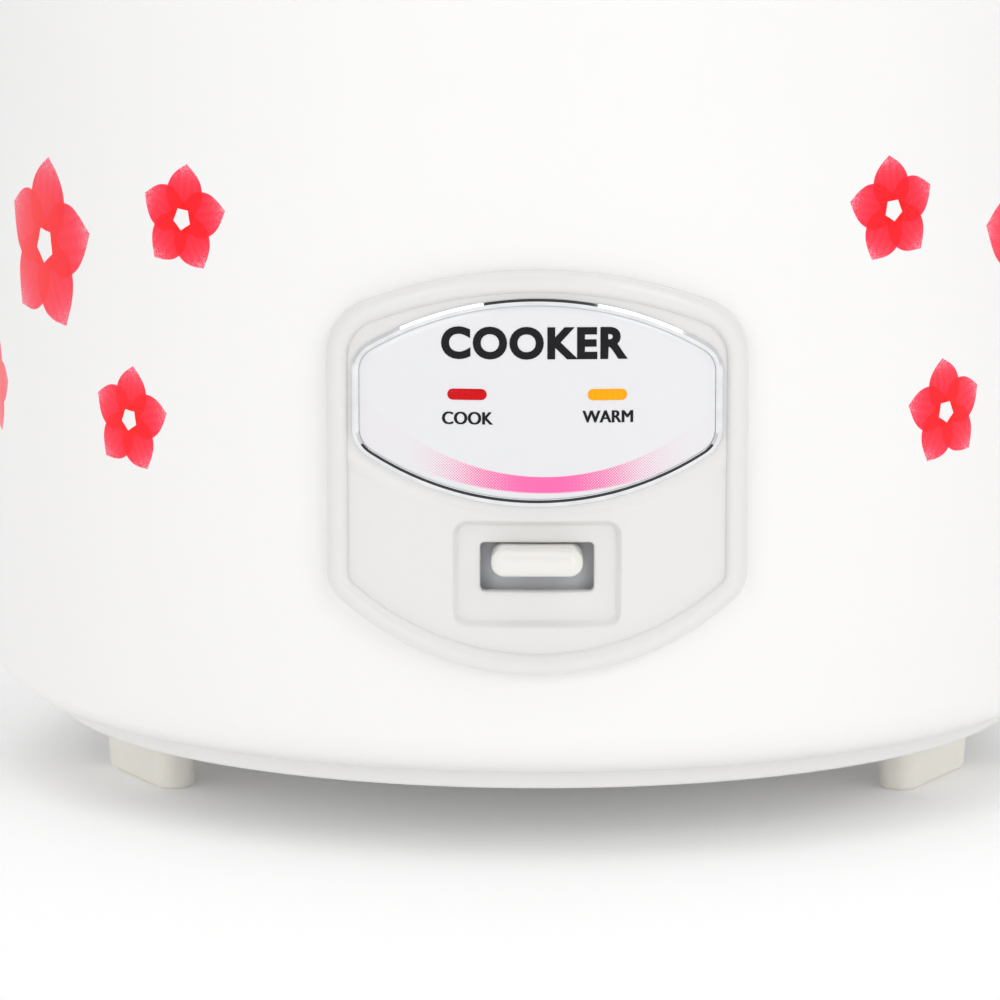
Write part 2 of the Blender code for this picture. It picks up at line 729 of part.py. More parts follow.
def make_panel():
    """The moulded panel on the drum's front, with its label lens and lamp windows."""
    far, near = -150, -100
    panel = ring_about_axis("panel_blank", PANEL_BACK_R, PANEL_RIM_R, 30, 140)
    core = ring_about_axis("panel_core", 128.9, PANEL_BACK_R + 0.4, 30, 140)
    for blank, outline in (
        (panel, panel_outline(0)),
        (core, rounded_rectangle(34.8, 54.2, 118.8, 4)),
    ):
        cut(blank, prism(f"{blank.name}_outline", outline, far, near), operation="INTERSECT")

    def pocket(name, outline, depth_r):
        """A cutter of an outline that reaches in to a radius."""
        cutter = ring_about_axis(name, depth_r, 150, 20, 150)
        return cut(cutter, prism(f"{name}_outline", outline, far, near), operation="INTERSECT")

    face = pocket("cut_panel_face", panel_outline(PANEL_RIM_W), PANEL_FACE_R)
    lens_seat = pocket("cut_lens_seat", lens_outline(-GAP), POCKET_R)
    recess = pocket(
        "cut_switch_recess", rounded_rectangle(RECESS_HALF_W, RECESS_LOW, RECESS_HIGH, 2.5), 131.2
    )
    slot = prism("cut_slot", rounded_rectangle(SLOT_HALF_W, SLOT_LOW, SLOT_HIGH, 1), far, near)
    made = bpy.data.objects.new("control_panel", panel.data)
    made.location = panel.location
    made.data.materials.append(material(PLASTIC))
    cooker.objects.link(made)
    screw = made.modifiers.new("turned", "SCREW")
    screw.steps = screw.render_steps = FINE_ROUND
    screw.use_merge_vertices = True
    screw.merge_threshold = 0.00001
    cut(made, bpy.data.objects["panel_blank_outline"], operation="INTERSECT")
    cut(made, core, operation="UNION")
    cut(made, face, lens_seat, recess, slot)
    lamp_holes = bmesh.new()
    for side in (-1, 1):
        at = side * WINDOW_X
        add_box(lamp_holes, (at - 3.4, near, WINDOW_Z - 1), (at + 3.4, far, WINDOW_Z + 1))
    cut(made, from_bmesh("cut_lamp_holes", lamp_holes))

    def curved_piece(name, outline, inner, outer, spec):
        """A piece of the cylinder between two radii, of a given outline."""
        profile = [(outer, 140), (outer, 30), (inner, 30), (inner, 140)]
        piece = lathe(name, profile, spec, FINE_ROUND)
        return cut(piece, prism(f"{name}_outline", outline, far, near), operation="INTERSECT")

    trim = curved_piece("lens_trim", lens_outline(0), POCKET_R + GAP, 135.0, CHROME)
    cut(trim, prism("cut_trim_inside", lens_outline(TRIM_W), far, near))
    lens = curved_piece("panel_lens", lens_outline(TRIM_W + GAP), POCKET_R + GAP, LENS_FACE_R, LENS)
    for name, side, colour in (("cook", -1, RED), ("warm", 1, AMBER)):
        at = side * WINDOW_X
        low, high = WINDOW_Z - WINDOW_HALF_H, WINDOW_Z + WINDOW_HALF_H
        hole = rounded_rectangle(WINDOW_HALF_W, low, high, 1.2, at)
        cut(lens, prism(f"cut_{name}_window", hole, far, near))
        inset = rounded_rectangle(WINDOW_HALF_W - 0.25, low + 0.25, high - 0.25, 1.0, at)
        curved_piece(f"{name}_window", inset, POCKET_R + GAP, LENS_FACE_R + 0.3, colour)
        ends = [(at + dx, -125.2, WINDOW_Z) for dx in (-4.5, 4.5)]
        cylinder(f"{name}_lamp", 2.2, *ends, GLASS, 16)


# ---------------------------------------------------------------- top ring, lid and handle


def make_top_ring():
    """The moulded ring on the drum, with hinge lugs, latch catch and handle seats."""
    profile = [
        (130.4, RING_TOP),
        (132, RING_TOP - 1.6),
        (132, SHELL_TOP + GAP),
        (129.4, SHELL_TOP + GAP),
        (129.4, LINER_TOP + 1.4),
        (127.6, LINER_TOP + 1.4),
        (127.6, SHELL_TOP - 1),
        (121, SHELL_TOP - 1),
        (121, LINER_TOP + 1 + GAP),
        (LINER_R, LINER_TOP + 1 + GAP),
        (LINER_R, RING_TOP - 2.5),
        (LINER_R + 2.5, RING_TOP),
    ]
    ring = lathe("top_ring", profile, PLASTIC)
    adds = bmesh.new()
    add_box(adds, (-33, 122, SHELL_TOP + GAP), (33, 139, 208))
    for side in (-1, 1):
        add_box(adds, (side * 127, -10, 200.8), (side * 133.8, 10, 211.6))
    block = from_bmesh("join_ring_blocks", adds)
    cut(ring, block, operation="UNION")
    for side in (-1, 1):
        lug = cylinder(
            f"join_lug_{'left' if side < 0 else 'right'}", 5,
            (side * 19.2, HINGE_Y, HINGE_Z), (side * 33, HINGE_Y, HINGE_Z),
        )
        cut(ring, lug, operation="UNION")
    notch = box("cut_hinge_notch", (-18.8, 121, 203), (18.8, 145, 220))
    bore = rod("cut_hinge_bore", 2.2, 40, HINGE_Y, HINGE_Z)
    holes = bmesh.new()
    for side in (-1, 1):
        add_cylinder(holes, 3.3, (side * 125, 0, HANDLE_Z), (side * 150, 0, HANDLE_Z), 16)
    pivots = from_bmesh("cut_pivot_bores", holes)
    catch = box("cut_latch_pocket", (-10, -125, 203), (10, -116.5, 220))
    cut(ring, notch, bore, pivots, catch)


def lid_height(r, reach, rise):
    """Height of the lid's dome above its rim at a radius."""
    return rise * (1 - (r / reach) ** 2.7) ** 0.47


def make_lid():
    """The hinged lid: outer dome, liner, inner plate and gasket."""
    steps = 8
    outer, inner = [], []
    inner_reach = LID_R - LID_WALL
    for i in range(steps + 1):
        share = math.sin(math.pi / 2 * i / steps)
        r = VENT_R + (LID_R - VENT_R) * share
        outer.append((r, LID_BASE + 6 + lid_height(r, LID_R, LID_RISE - 6)))
        r = VENT_R + (inner_reach - VENT_R) * share
        inner.append((r, LID_BASE + 6 + lid_height(r, inner_reach, LID_RISE - 6 - LID_WALL)))
    profile = [*outer, (LID_R, LID_BASE), (inner_reach, LID_BASE), *inner[::-1]]
    lid = lathe("lid_outer", profile, PLASTIC)
    for side in (-1, 1):
        label = "left" if side < 0 else "right"
        barrel_piece = cylinder(
            f"join_knuckle_{label}", 5, (side * 7, HINGE_Y, HINGE_Z), (side * 18, HINGE_Y, HINGE_Z)
        )
        web = box(f"join_web_{label}", (side * 7, 128.9, 206), (side * 18, HINGE_Y, 216))
        cut(lid, barrel_piece, web, operation="UNION")
    bore = rod("cut_knuckle_bore", 2.2, 40, HINGE_Y, HINGE_Z)
    button_hole = prism("cut_button_hole", rounded_rectangle(13.4, 224, 250, 3), -140, -106)
    cut(lid, bore, button_hole)

    liner = [
        (12.6, 244),
        (12.6, 215),
        (inner_reach - GAP, 215),
        (inner_reach - GAP, 213),
        (102, 213),
        (102, 207.6),
        (100.4, 207.6),
        (100.4, 213),
        (12.6, 213),
        (12.6, 208),
        (11, 208),
        (11, 244),
    ]
    cover = lathe("lid_liner", liner, PLASTIC)
    cut(cover, box("cut_hook_slot", (-8, -127, 205), (8, -115.5, 220)))
    plate = [(103, 207.2), (103, 206), (96, 203.5), (9, 203.5), (9, 204.7), (95.6, 204.7), (101.5, 207.2)]
    lathe("lid_inner_plate", plate, ALUMINIUM)
    gasket = [
        (109.6, 207),
        (109.6, 202.6),
        (108.2, 201.4),
        (105, 201.4),
        (103.4, 202.6),
        (103.4, 207),
    ]
    lathe("lid_gasket", gasket, SILICONE)


def make_steam_cap():
    """The pull-out steam cap in the middle of the lid."""
    top = LID_BASE + LID_RISE
    profile = [
        (4, top + 3.4),
        (15, top + 3),
        (18.6, top + 1.6),
        (19, top + 0.6),
        (15.6, top + 0.4),
        (15.6, 243),
        (14.2, 243),
        (14.2, top - 0.6),
        (4, top - 0.6),
    ]
    cap = lathe("steam_cap", profile, PLASTIC, 40)
    slots = bmesh.new()
    for angle in range(0, 360, 60):
        slot = bmesh.new()
        add_box(slot, (6.6, -1.0, top - 4), (12, 1.0, top + 6))
        bmesh.ops.rotate(
            slot, matrix=Matrix.Rotation(math.radians(angle), 3, "Z"), verts=slot.verts
        )
        mesh = bpy.data.meshes.new("steam_slot")
        slot.to_mesh(mesh)
        slot.free()
        slots.from_mesh(mesh)
        bpy.data.meshes.remove(mesh)
    cut(cap, from_bmesh("cut_steam_slots", slots))


def make_latch():
    """The release button on the lid's front and the hook that it draws back."""
    button = prism("lid_button", rounded_rectangle(13, 224.4, 241, 2.6), -129, -112, GREY)
    round_edges(button, 1.2)
    hook = box("latch_hook", (-6.5, -121.8, 204.6), (6.5, -119.4, 224.1), IVORY)
    toe = box("join_hook_toe", (-6.5, -124.4, 204.6), (6.5, -119.8, 207.4))
    cut(hook, toe, operation="UNION")


def make_hinge():
    """The hinge pin and the torsion spring that helps the lid up."""
    rod("hinge_pin", 1.9, 32.6, HINGE_Y, HINGE_Z, STEEL)
    turns = [(z, HINGE_Y + x, HINGE_Z + y) for x, y, z in coil(3.2, -5.2, 5.2, 5)]
    tube("lid_spring", turns, 0.6, STEEL, 1)


def make_handle():
    """The bail handle, laid back behind the lid, and its two pivots."""
    angles = [math.pi * i / 24 for i in range(25)]
    points = [
        (HANDLE_X * math.cos(a), HANDLE_REACH * math.sin(a), HANDLE_Z) for a in angles
    ]
    handle = as_mesh(tube("carry_handle", points, HANDLE_TUBE_R, PLASTIC, 2))
    for side in (-1, 1):
        label = "left" if side < 0 else "right"
        eye = cylinder(
            f"join_eye_{label}", 8, (side * 134.3, 0, HANDLE_Z), (side * 145.1, 0, HANDLE_Z)
        )
        cut(handle, eye, operation="UNION")
        profile = [(0, 147.5), (5.4, 147.5), (6.5, 146.5), (6.5, 145.4)]
        profile += [(3, 145.4), (3, 127.6), (0, 127.6)]
        pivot = lathe(f"handle_pivot_{label}", profile, ZINC, 20, closed=False)
        pivot.rotation_euler = (0, math.radians(90 * side), 0)
        pivot.location = (0, AXIS_Y * MM, (DATUM_Z + HANDLE_Z) * MM)
    cut(handle, rod("cut_eye_bore", 3.3, 160, 0, HANDLE_Z))


def make_dew_collector():
    """The clear cup behind the body that catches the lid's condensate."""
    cup = box("dew_collector", (-17, 131.6, 172), (17, 143.6, 196), CLEAR, 1.2)
    cut(cup, box("cut_cup_inside", (-15.4, 133.2, 173.6), (15.4, 142, 200)))


def pivot(name, where, *pieces, parent=None):
    """An empty on a joint's axis that carries the pieces moving about it."""
    x, y, z = where
    empty = bpy.data.objects.new(name, None)
    empty.location = (x * MM, (y + AXIS_Y) * MM, (z + DATUM_Z) * MM)
    empty.empty_display_size = 0.02
    cooker.objects.link(empty)
    children = [bpy.data.objects[piece] for piece in pieces]
    for child in children:
        child.parent = empty
        child.matrix_parent_inverse = Matrix.Translation(empty.location).inverted()
    if parent:
        empty.parent = parent
        empty.matrix_parent_inverse = Matrix.Translation(parent.location).inverted()
    return empty


def place_pivots():
    """Puts each moving piece under an empty on its own joint's axis."""
    lid_parts = ("lid_outer", "lid_liner", "lid_inner_plate", "lid_gasket")
    lid = pivot("lid_axis", (0, HINGE_Y, HINGE_Z), *lid_parts)
    pivot("latch_axis", (0, -120.5, 224), "lid_button", "latch_hook", parent=lid)
    pivot("steam_cap_axis", (0, 0, LID_BASE + LID_RISE), "steam_cap", parent=lid)
    pivot("handle_axis", (0, 0, HANDLE_Z), "carry_handle")
    pivot("slider_axis", (0, SLIDER_Y, 60), "cook_slider", "slot_shutter", "cook_knob")
    pivot("rocker_axis", (0, ROCKER_PIVOT_Y, ROCKER_Z), "rocker_arm")
    pivot("plunger_axis", (11, -91, 20), "switch_plunger")
    pivot("magnet_axis", (0, 0, 41), "magnet_rod")
    pivot("sensor_axis", (0, 0, 49), "sensor_cap", "sensor_ferrite")
    pivot("pot_axis", (0, 0, POT_FLOOR), "inner_pot")
    pivot("dew_collector_axis", (0, 131.6, 184), "dew_collector")


clear_scene()
cooker = collection("rice_cooker")
cutters = collection("cutters", hidden=True)

make_outer_shell()
make_base_plate()
make_feet()
make_inner_case()
make_heating_plate()
make_pot()
make_sensor()
make_rocker()
make_slider()
make_changeover_switch()
make_electrics()
make_panel()
make_top_ring()
make_lid()
make_steam_cap()
make_latch()
make_hinge()
make_handle()
make_dew_collector()
place_pivots()
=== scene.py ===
"""A white jar-type rice cooker with a printed drum, dressed for a pale studio.

Sizes are in millimetres in the cooker's own frame, with X = Y = 0 on the drum's axis
and Z = 0 on the floor. A finished mesh is scaled to metres and moved to the frame's
axis, so that every object stands at the origin.
"""

import json
import logging
import math
from collections.abc import Callable, Iterable, Sequence
from dataclasses import dataclass, field
from enum import Enum
from typing import Any

import bmesh
import bpy
from mathutils import Matrix, Vector

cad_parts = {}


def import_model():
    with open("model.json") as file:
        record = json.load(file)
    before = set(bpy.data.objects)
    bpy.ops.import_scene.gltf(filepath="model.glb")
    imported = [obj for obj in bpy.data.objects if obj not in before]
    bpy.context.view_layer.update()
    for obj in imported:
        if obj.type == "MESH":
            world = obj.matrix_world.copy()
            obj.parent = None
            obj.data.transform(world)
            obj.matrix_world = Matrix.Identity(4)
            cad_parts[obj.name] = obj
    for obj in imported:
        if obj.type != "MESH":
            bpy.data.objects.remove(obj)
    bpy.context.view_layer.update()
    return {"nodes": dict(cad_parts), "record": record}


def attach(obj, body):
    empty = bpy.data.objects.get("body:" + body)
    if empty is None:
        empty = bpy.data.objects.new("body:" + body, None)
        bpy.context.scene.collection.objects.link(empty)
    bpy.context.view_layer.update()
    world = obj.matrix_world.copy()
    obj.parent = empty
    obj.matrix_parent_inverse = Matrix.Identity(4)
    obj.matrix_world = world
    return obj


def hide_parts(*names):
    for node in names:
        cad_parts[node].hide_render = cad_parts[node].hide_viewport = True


Point = tuple[float, float]
Corner = tuple[float, float, float]
Colour = tuple[float, float, float]

MM = 0.001
AXIS_Y = -8.7
ROUND = 192
LOG = logging.getLogger("rice_cooker")


# ---------------------------------------------------------------- node graphs


class Value:
    """One output socket of a node graph; Python operators on it add Math nodes."""

    def __init__(self, graph: "NodeGraph", socket: bpy.types.NodeSocket) -> None:
        """Keeps the socket and the graph it belongs to."""
        self.graph = graph
        self.socket = socket

    def math(self, operation: str, *others: "Value | float") -> "Value":
        """This value in a Math node, ahead of the others.

        Args:
            operation: The Math node's operation.
            *others: The node's further inputs.

        Returns:
            The node's result.
        """
        return self.graph.math(operation, self, *others)

    def __add__(self, other: "Value | float") -> "Value":
        """The sum."""
        return self.math("ADD", other)

    def __radd__(self, other: float) -> "Value":
        """The sum, with a number on the left."""
        return self.math("ADD", other)

    def __sub__(self, other: "Value | float") -> "Value":
        """The difference."""
        return self.math("SUBTRACT", other)

    def __rsub__(self, other: float) -> "Value":
        """The difference, with a number on the left."""
        return self.graph.math("SUBTRACT", other, self)

    def __mul__(self, other: "Value | float") -> "Value":
        """The product."""
        return self.math("MULTIPLY", other)

    def __rmul__(self, other: float) -> "Value":
        """The product, with a number on the left."""
        return self.math("MULTIPLY", other)

    def __truediv__(self, other: "Value | float") -> "Value":
        """The quotient."""
        return self.math("DIVIDE", other)

    def __pow__(self, other: float) -> "Value":
        """This value to a power."""
        return self.math("POWER", other)

    def smooth(self, low: float, high: float) -> "Value":
        """A soft step from 0 at low to 1 at high; high may be the smaller one.

        Args:
            low: Where the step is 0.
            high: Where the step is 1.

        Returns:
            The step's value.
        """
        start, end, first, last = (low, high, 0.0, 1.0) if low < high else (high, low, 1.0, 0.0)
        return self.graph.node(
            "ShaderNodeMapRange",
            {"interpolation_type": "SMOOTHSTEP"},
            {0: self, 1: start, 2: end, 3: first, 4: last},
        )


class NodeGraph:
    """A node tree that is built by one method and by Python expressions."""

    def __init__(self, tree: bpy.types.NodeTree) -> None:
        """Keeps the tree that the nodes go in."""
        self.tree = tree

    def node(
        self,
        kind: str,
        settings: dict[str, Any] | None = None,
        inputs: dict[int | str, Any] | None = None,
        output: int | str | None = 0,
    ) -> Value | None:
        """Adds one node.

        Args:
            kind: The node's Blender type name.
            settings: Attributes set before its sockets; "stops" fills a colour ramp.
            inputs: Values or links of its sockets, by name or index.
            output: The output socket to hand back, or None for no output.

        Returns:
            The chosen output.
        """
        made = self.tree.nodes.new(kind)
        for key, value in (settings or {}).items():
            if key == "stops":
                ramp = made.color_ramp
                while len(ramp.elements) < len(value):
                    ramp.elements.new(0.5)
                for element, (place, colour) in zip(ramp.elements, value):
                    element.position = place
                    element.color = (*colour, 1.0)
            else:
                setattr(made, key, value)
        for key, value in (inputs or {}).items():
            if isinstance(value, Value):
                self.tree.links.new(value.socket, made.inputs[key])
            else:
                made.inputs[key].default_value = value
        return None if output is None else Value(self, made.outputs[output])

    def math(self, operation: str, *values: Value | float) -> Value:
        """One Math node.

        Args:
            operation: The node's operation.
            *values: Its inputs in order.

        Returns:
            The node's result.
        """
        return self.node("ShaderNodeMath", {"operation": operation}, dict(enumerate(values)))


class Shader(NodeGraph):
    """A material's graph, with the textures and mixes that the finishes share."""

    def __init__(self, name: str) -> None:
        """Starts an empty material of this name.

        Args:
            name: The material's name.
        """
        self.material = bpy.data.materials.new(name)
        self.material.use_nodes = True
        self.material.node_tree.nodes.clear()
        super().__init__(self.material.node_tree)

    def place(self) -> Value:
        """The Object coordinates, in metres."""
        return self.node("ShaderNodeTexCoord", output="Object")

    def split(self, vector: Value) -> tuple[Value, Value, Value]:
        """The three parts of a vector.

        Args:
            vector: The vector to take apart.

        Returns:
            Its x, y and z.
        """
        first = self.node("ShaderNodeSeparateXYZ", inputs={0: vector})
        outputs = first.socket.node.outputs
        return first, Value(self, outputs[1]), Value(self, outputs[2])

    def vector(self, x: Value | float, y: Value | float, z: Value | float) -> Value:
        """A vector of three values."""
        return self.node("ShaderNodeCombineXYZ", inputs={0: x, 1: y, 2: z})

    def noise(self, scale: float, detail: float = 2.0, at: Value | None = None) -> Value:
        """Noise from 0 to 1.

        Args:
            scale: Its cells to the metre, or to the unit of at.
            detail: Its octaves.
            at: Where it is read, which is the Object coordinates if left out.

        Returns:
            The noise's value.
        """
        inputs = {"Vector": at or self.place(), "Scale": scale, "Detail": detail}
        return self.node("ShaderNodeTexNoise", inputs=inputs)

    def mix(self, share: Value, first: Any, second: Any) -> Value:
        """A colour between two colours.

        Args:
            share: 0 for the first, 1 for the second.
            first: A colour or a link.
            second: A colour or a link.

        Returns:
            The mixed colour.
        """
        colours = [c if isinstance(c, Value) else (*c, 1.0) for c in (first, second)]
        return self.node(
            "ShaderNodeMix",
            {"data_type": "RGBA"},
            {0: share, 6: colours[0], 7: colours[1]},
            output=2,
        )

    def bump(self, height: Value, depth: float, strength: float = 1.0) -> Value:
        """A normal bent by a height.

        Args:
            height: The height, from 0 to 1.
            depth: What a height of 1 stands for, in metres.
            strength: The share of it that shows.

        Returns:
            The bent normal.
        """
        inputs = {"Strength": strength, "Distance": depth, "Height": height}
        return self.node("ShaderNodeBump", inputs=inputs)

    def surface(self, **sockets: Any) -> bpy.types.Material:
        """Ends the material in a Principled BSDF.

        Args:
            **sockets: Its sockets, with spaces written as underscores.

        Returns:
            The finished material.
        """
        inputs = {name.replace("_", " "): value for name, value in sockets.items()}
        shader = self.node("ShaderNodeBsdfPrincipled", inputs=inputs)
        self.node("ShaderNodeOutputMaterial", inputs={0: shader}, output=None)
        return self.material


class Growth(NodeGraph):
    """A Geometry Nodes tree with named inputs, ending in one realised mesh."""

    def __init__(self, name: str) -> None:
        """Starts an empty tree of this name.

        Args:
            name: The tree's name.
        """
        super().__init__(bpy.data.node_groups.new(name, "GeometryNodeTree"))
        kind = "NodeSocketGeometry"
        self.tree.interface.new_socket("Geometry", in_out="OUTPUT", socket_type=kind)
        self.entry = self.tree.nodes.new("NodeGroupInput")
        self.settings: dict[str, Any] = {}

    def size(self, label: str, value: float | int | Sequence[float]) -> Value:
        """Adds a named input.

        Args:
            label: The input's name.
            value: What the object's modifier gives it.

        Returns:
            The input inside the tree.
        """
        kinds = {int: "NodeSocketInt", float: "NodeSocketFloat"}
        kind = kinds.get(type(value), "NodeSocketVector")
        socket = self.tree.interface.new_socket(label, in_out="INPUT", socket_type=kind)
        self.settings[socket.identifier] = value
        return Value(self, self.entry.outputs[label])

    def grow(self, geometry: Value, finish: "Finish") -> bmesh.types.BMesh:
        """Realises the tree on an empty object and bakes it.

        Args:
            geometry: The tree's last geometry.
            finish: The finish whose material the tree sets.

        Returns:
            The mesh, in millimetres.
        """
        real = self.node("GeometryNodeRealizeInstances", inputs={0: geometry})
        dressed = self.node(
            "GeometryNodeSetMaterial", inputs={"Geometry": real, "Material": finish.material()}
        )
        exit_node = self.tree.nodes.new("NodeGroupOutput")
        self.tree.links.new(dressed.socket, exit_node.inputs[0])
        holder = bpy.data.objects.new("growth", bpy.data.meshes.new("growth"))
        modifier = holder.modifiers.new("growth", "NODES")
        modifier.node_group = self.tree
        for identifier, value in self.settings.items():
            modifier[identifier] = value
        bpy.context.scene.collection.objects.link(holder)
        return baked(holder)


def baked(holder: bpy.types.Object) -> bmesh.types.BMesh:
    """The evaluated mesh of an object, which is then removed.

    Args:
        holder: The object to evaluate.

    Returns:
        Its mesh, with all modifiers applied.
    """
    graph = bpy.context.evaluated_depsgraph_get()
    mesh = bpy.data.meshes.new_from_object(holder.evaluated_get(graph))
    shape = bmesh.new()
    shape.from_mesh(mesh)
    bpy.data.meshes.remove(mesh)
    bpy.data.objects.remove(holder)
    return shape


# ---------------------------------------------------------------- finishes


@dataclass(frozen=True)
class Finish:
    """A named look; each kind of finish says in dress how its material is made."""

    name: str
    colour: Colour
    roughness: float = 0.4

    def dress(self, shader: Shader) -> bpy.types.Material:
        """Fills the shader and returns its material."""
        raise NotImplementedError

    def material(self) -> bpy.types.Material:
        """The finish's material, made once."""
        label = f"finish_{self.name}"
        return bpy.data.materials.get(label) or self.dress(Shader(label))

    def shade(self, amount: float) -> Colour:
        """The colour, made lighter or darker by a factor."""
        return tuple(min(1.0, part * amount) for part in self.colour)


@dataclass(frozen=True)
class MouldedPlastic(Finish):
    """Injection-moulded plastic: faint grain, slow colour drift, a polished skin."""

    grain: float = 2200.0
    grain_depth: float = 0.00001
    coat: float = 0.35
    glow: float = 0.0

    def dress(self, shader: Shader) -> bpy.types.Material:
        """Grain in the bump and the roughness, drift in the colour.

        Args:
            shader: The graph to build in.

        Returns:
            The finished material.
        """
        fine = shader.noise(self.grain, 2.0)
        drift = shader.noise(16.0, 3.0)
        specks = shader.noise(700.0, 1.0).smooth(0.74, 0.86)
        base = shader.mix(drift, self.shade(0.975), self.shade(1.012))
        return shader.surface(
            Base_Color=shader.mix(specks * 0.25, base, self.shade(0.9)),
            Roughness=self.roughness + (drift - 0.5) * 0.10,
            Coat_Weight=self.coat,
            Coat_Roughness=0.12,
            Subsurface_Weight=self.glow,
            Subsurface_Radius=(0.004, 0.003, 0.002),
            Subsurface_Scale=0.4,
            Normal=shader.bump(fine + drift * 2.0, self.grain_depth),
        )


@dataclass(frozen=True)
class TurnedMetal(Finish):
    """Metal with fine lines that run round the cooker's axis."""

    lines: float = 2600.0
    depth: float = 0.00002
    metallic: float = 1.0

    def dress(self, shader: Shader) -> bpy.types.Material:
        """Lines that depend on the radius and the height alone.

        Args:
            shader: The graph to build in.

        Returns:
            The finished material.
        """
        x, y, z = shader.split(shader.place())
        ahead = y - AXIS_Y * MM
        radius = (x * x + ahead * ahead).math("SQRT")
        lines = shader.noise(self.lines, 3.0, shader.vector(radius, z, 0.0))
        cloud = shader.noise(40.0, 3.0)
        return shader.surface(
            Base_Color=shader.mix(lines * 0.6 + cloud * 0.4, self.shade(0.86), self.shade(1.1)),
            Metallic=self.metallic,
            Roughness=self.roughness + (cloud - 0.5) * 0.16 + (lines - 0.5) * 0.1,
            Normal=shader.bump(lines, self.depth),
        )


@dataclass(frozen=True)
class RolledMetal(Finish):
    """Sheet or plated metal: short scratches along one way and a mottled plating."""

    stretch: tuple[float, float, float] = (0.08, 1.0, 1.0)
    scale: float = 1800.0
    depth: float = 0.000015

    def dress(self, shader: Shader) -> bpy.types.Material:
        """Stretched noise for the scratches, cells for the plating.

        Args:
            shader: The graph to build in.

        Returns:
            The finished material.
        """
        mapped = shader.node(
            "ShaderNodeMapping", inputs={"Vector": shader.place(), "Scale": self.stretch}
        )
        scratches = shader.noise(self.scale, 3.0, mapped)
        mottle = shader.node(
            "ShaderNodeTexVoronoi", inputs={"Vector": shader.place(), "Scale": 260.0}
        )
        tone = scratches * 0.5 + mottle * 0.5
        return shader.surface(
            Base_Color=shader.mix(tone, self.shade(0.84), self.shade(1.1)),
            Metallic=1.0,
            Roughness=self.roughness + (scratches - 0.5) * 0.18,
            Normal=shader.bump(scratches, self.depth),
        )


@dataclass(frozen=True)
class ClearPlastic(Finish):
    """Clear moulded plastic with a faint haze."""

    tint: float = 0.95

    def dress(self, shader: Shader) -> bpy.types.Material:
        """A transmissive body whose roughness holds the haze."""
        haze = shader.noise(60.0, 3.0)
        return shader.surface(
            Base_Color=shader.mix(haze, self.shade(self.tint), self.shade(1.0)),
            Roughness=self.roughness + haze * 0.08,
            Transmission_Weight=0.85,
            IOR=1.49,
            Normal=shader.bump(haze, 0.00003),
        )


@dataclass(frozen=True)
class LampPlastic(Finish):
    """A coloured lamp window with fine ribs behind its face."""

    light: float = 0.08

    def dress(self, shader: Shader) -> bpy.types.Material:
        """Ribs in the colour and a weak light of their own.

        Args:
            shader: The graph to build in.

        Returns:
            The finished material.
        """
        x, _, z = shader.split(shader.place())
        ribs = (x * 5200.0).math("SINE") * 0.5 + 0.5
        colour = shader.mix(ribs * 0.35, self.colour, self.shade(0.8))
        haze = shader.noise(300.0, 2.0, shader.vector(x, z, 0.0))
        return shader.surface(
            Base_Color=colour,
            Roughness=self.roughness + haze * 0.1,
            Specular_IOR_Level=0.15,
            Emission_Color=colour,
            Emission_Strength=self.light,
        )


@dataclass(frozen=True)
class Ink(Finish):
    """Screen-printed ink: matt, a little uneven at its edges."""

    def dress(self, shader: Shader) -> bpy.types.Material:
        """Fine noise in the colour and the roughness."""
        grit = shader.noise(3000.0, 2.0)
        return shader.surface(
            Base_Color=shader.mix(grit, self.shade(0.8), self.shade(1.3)),
            Roughness=self.roughness + grit * 0.2,
            Specular_IOR_Level=0.12,
            Normal=shader.bump(grit, 0.000005),
        )


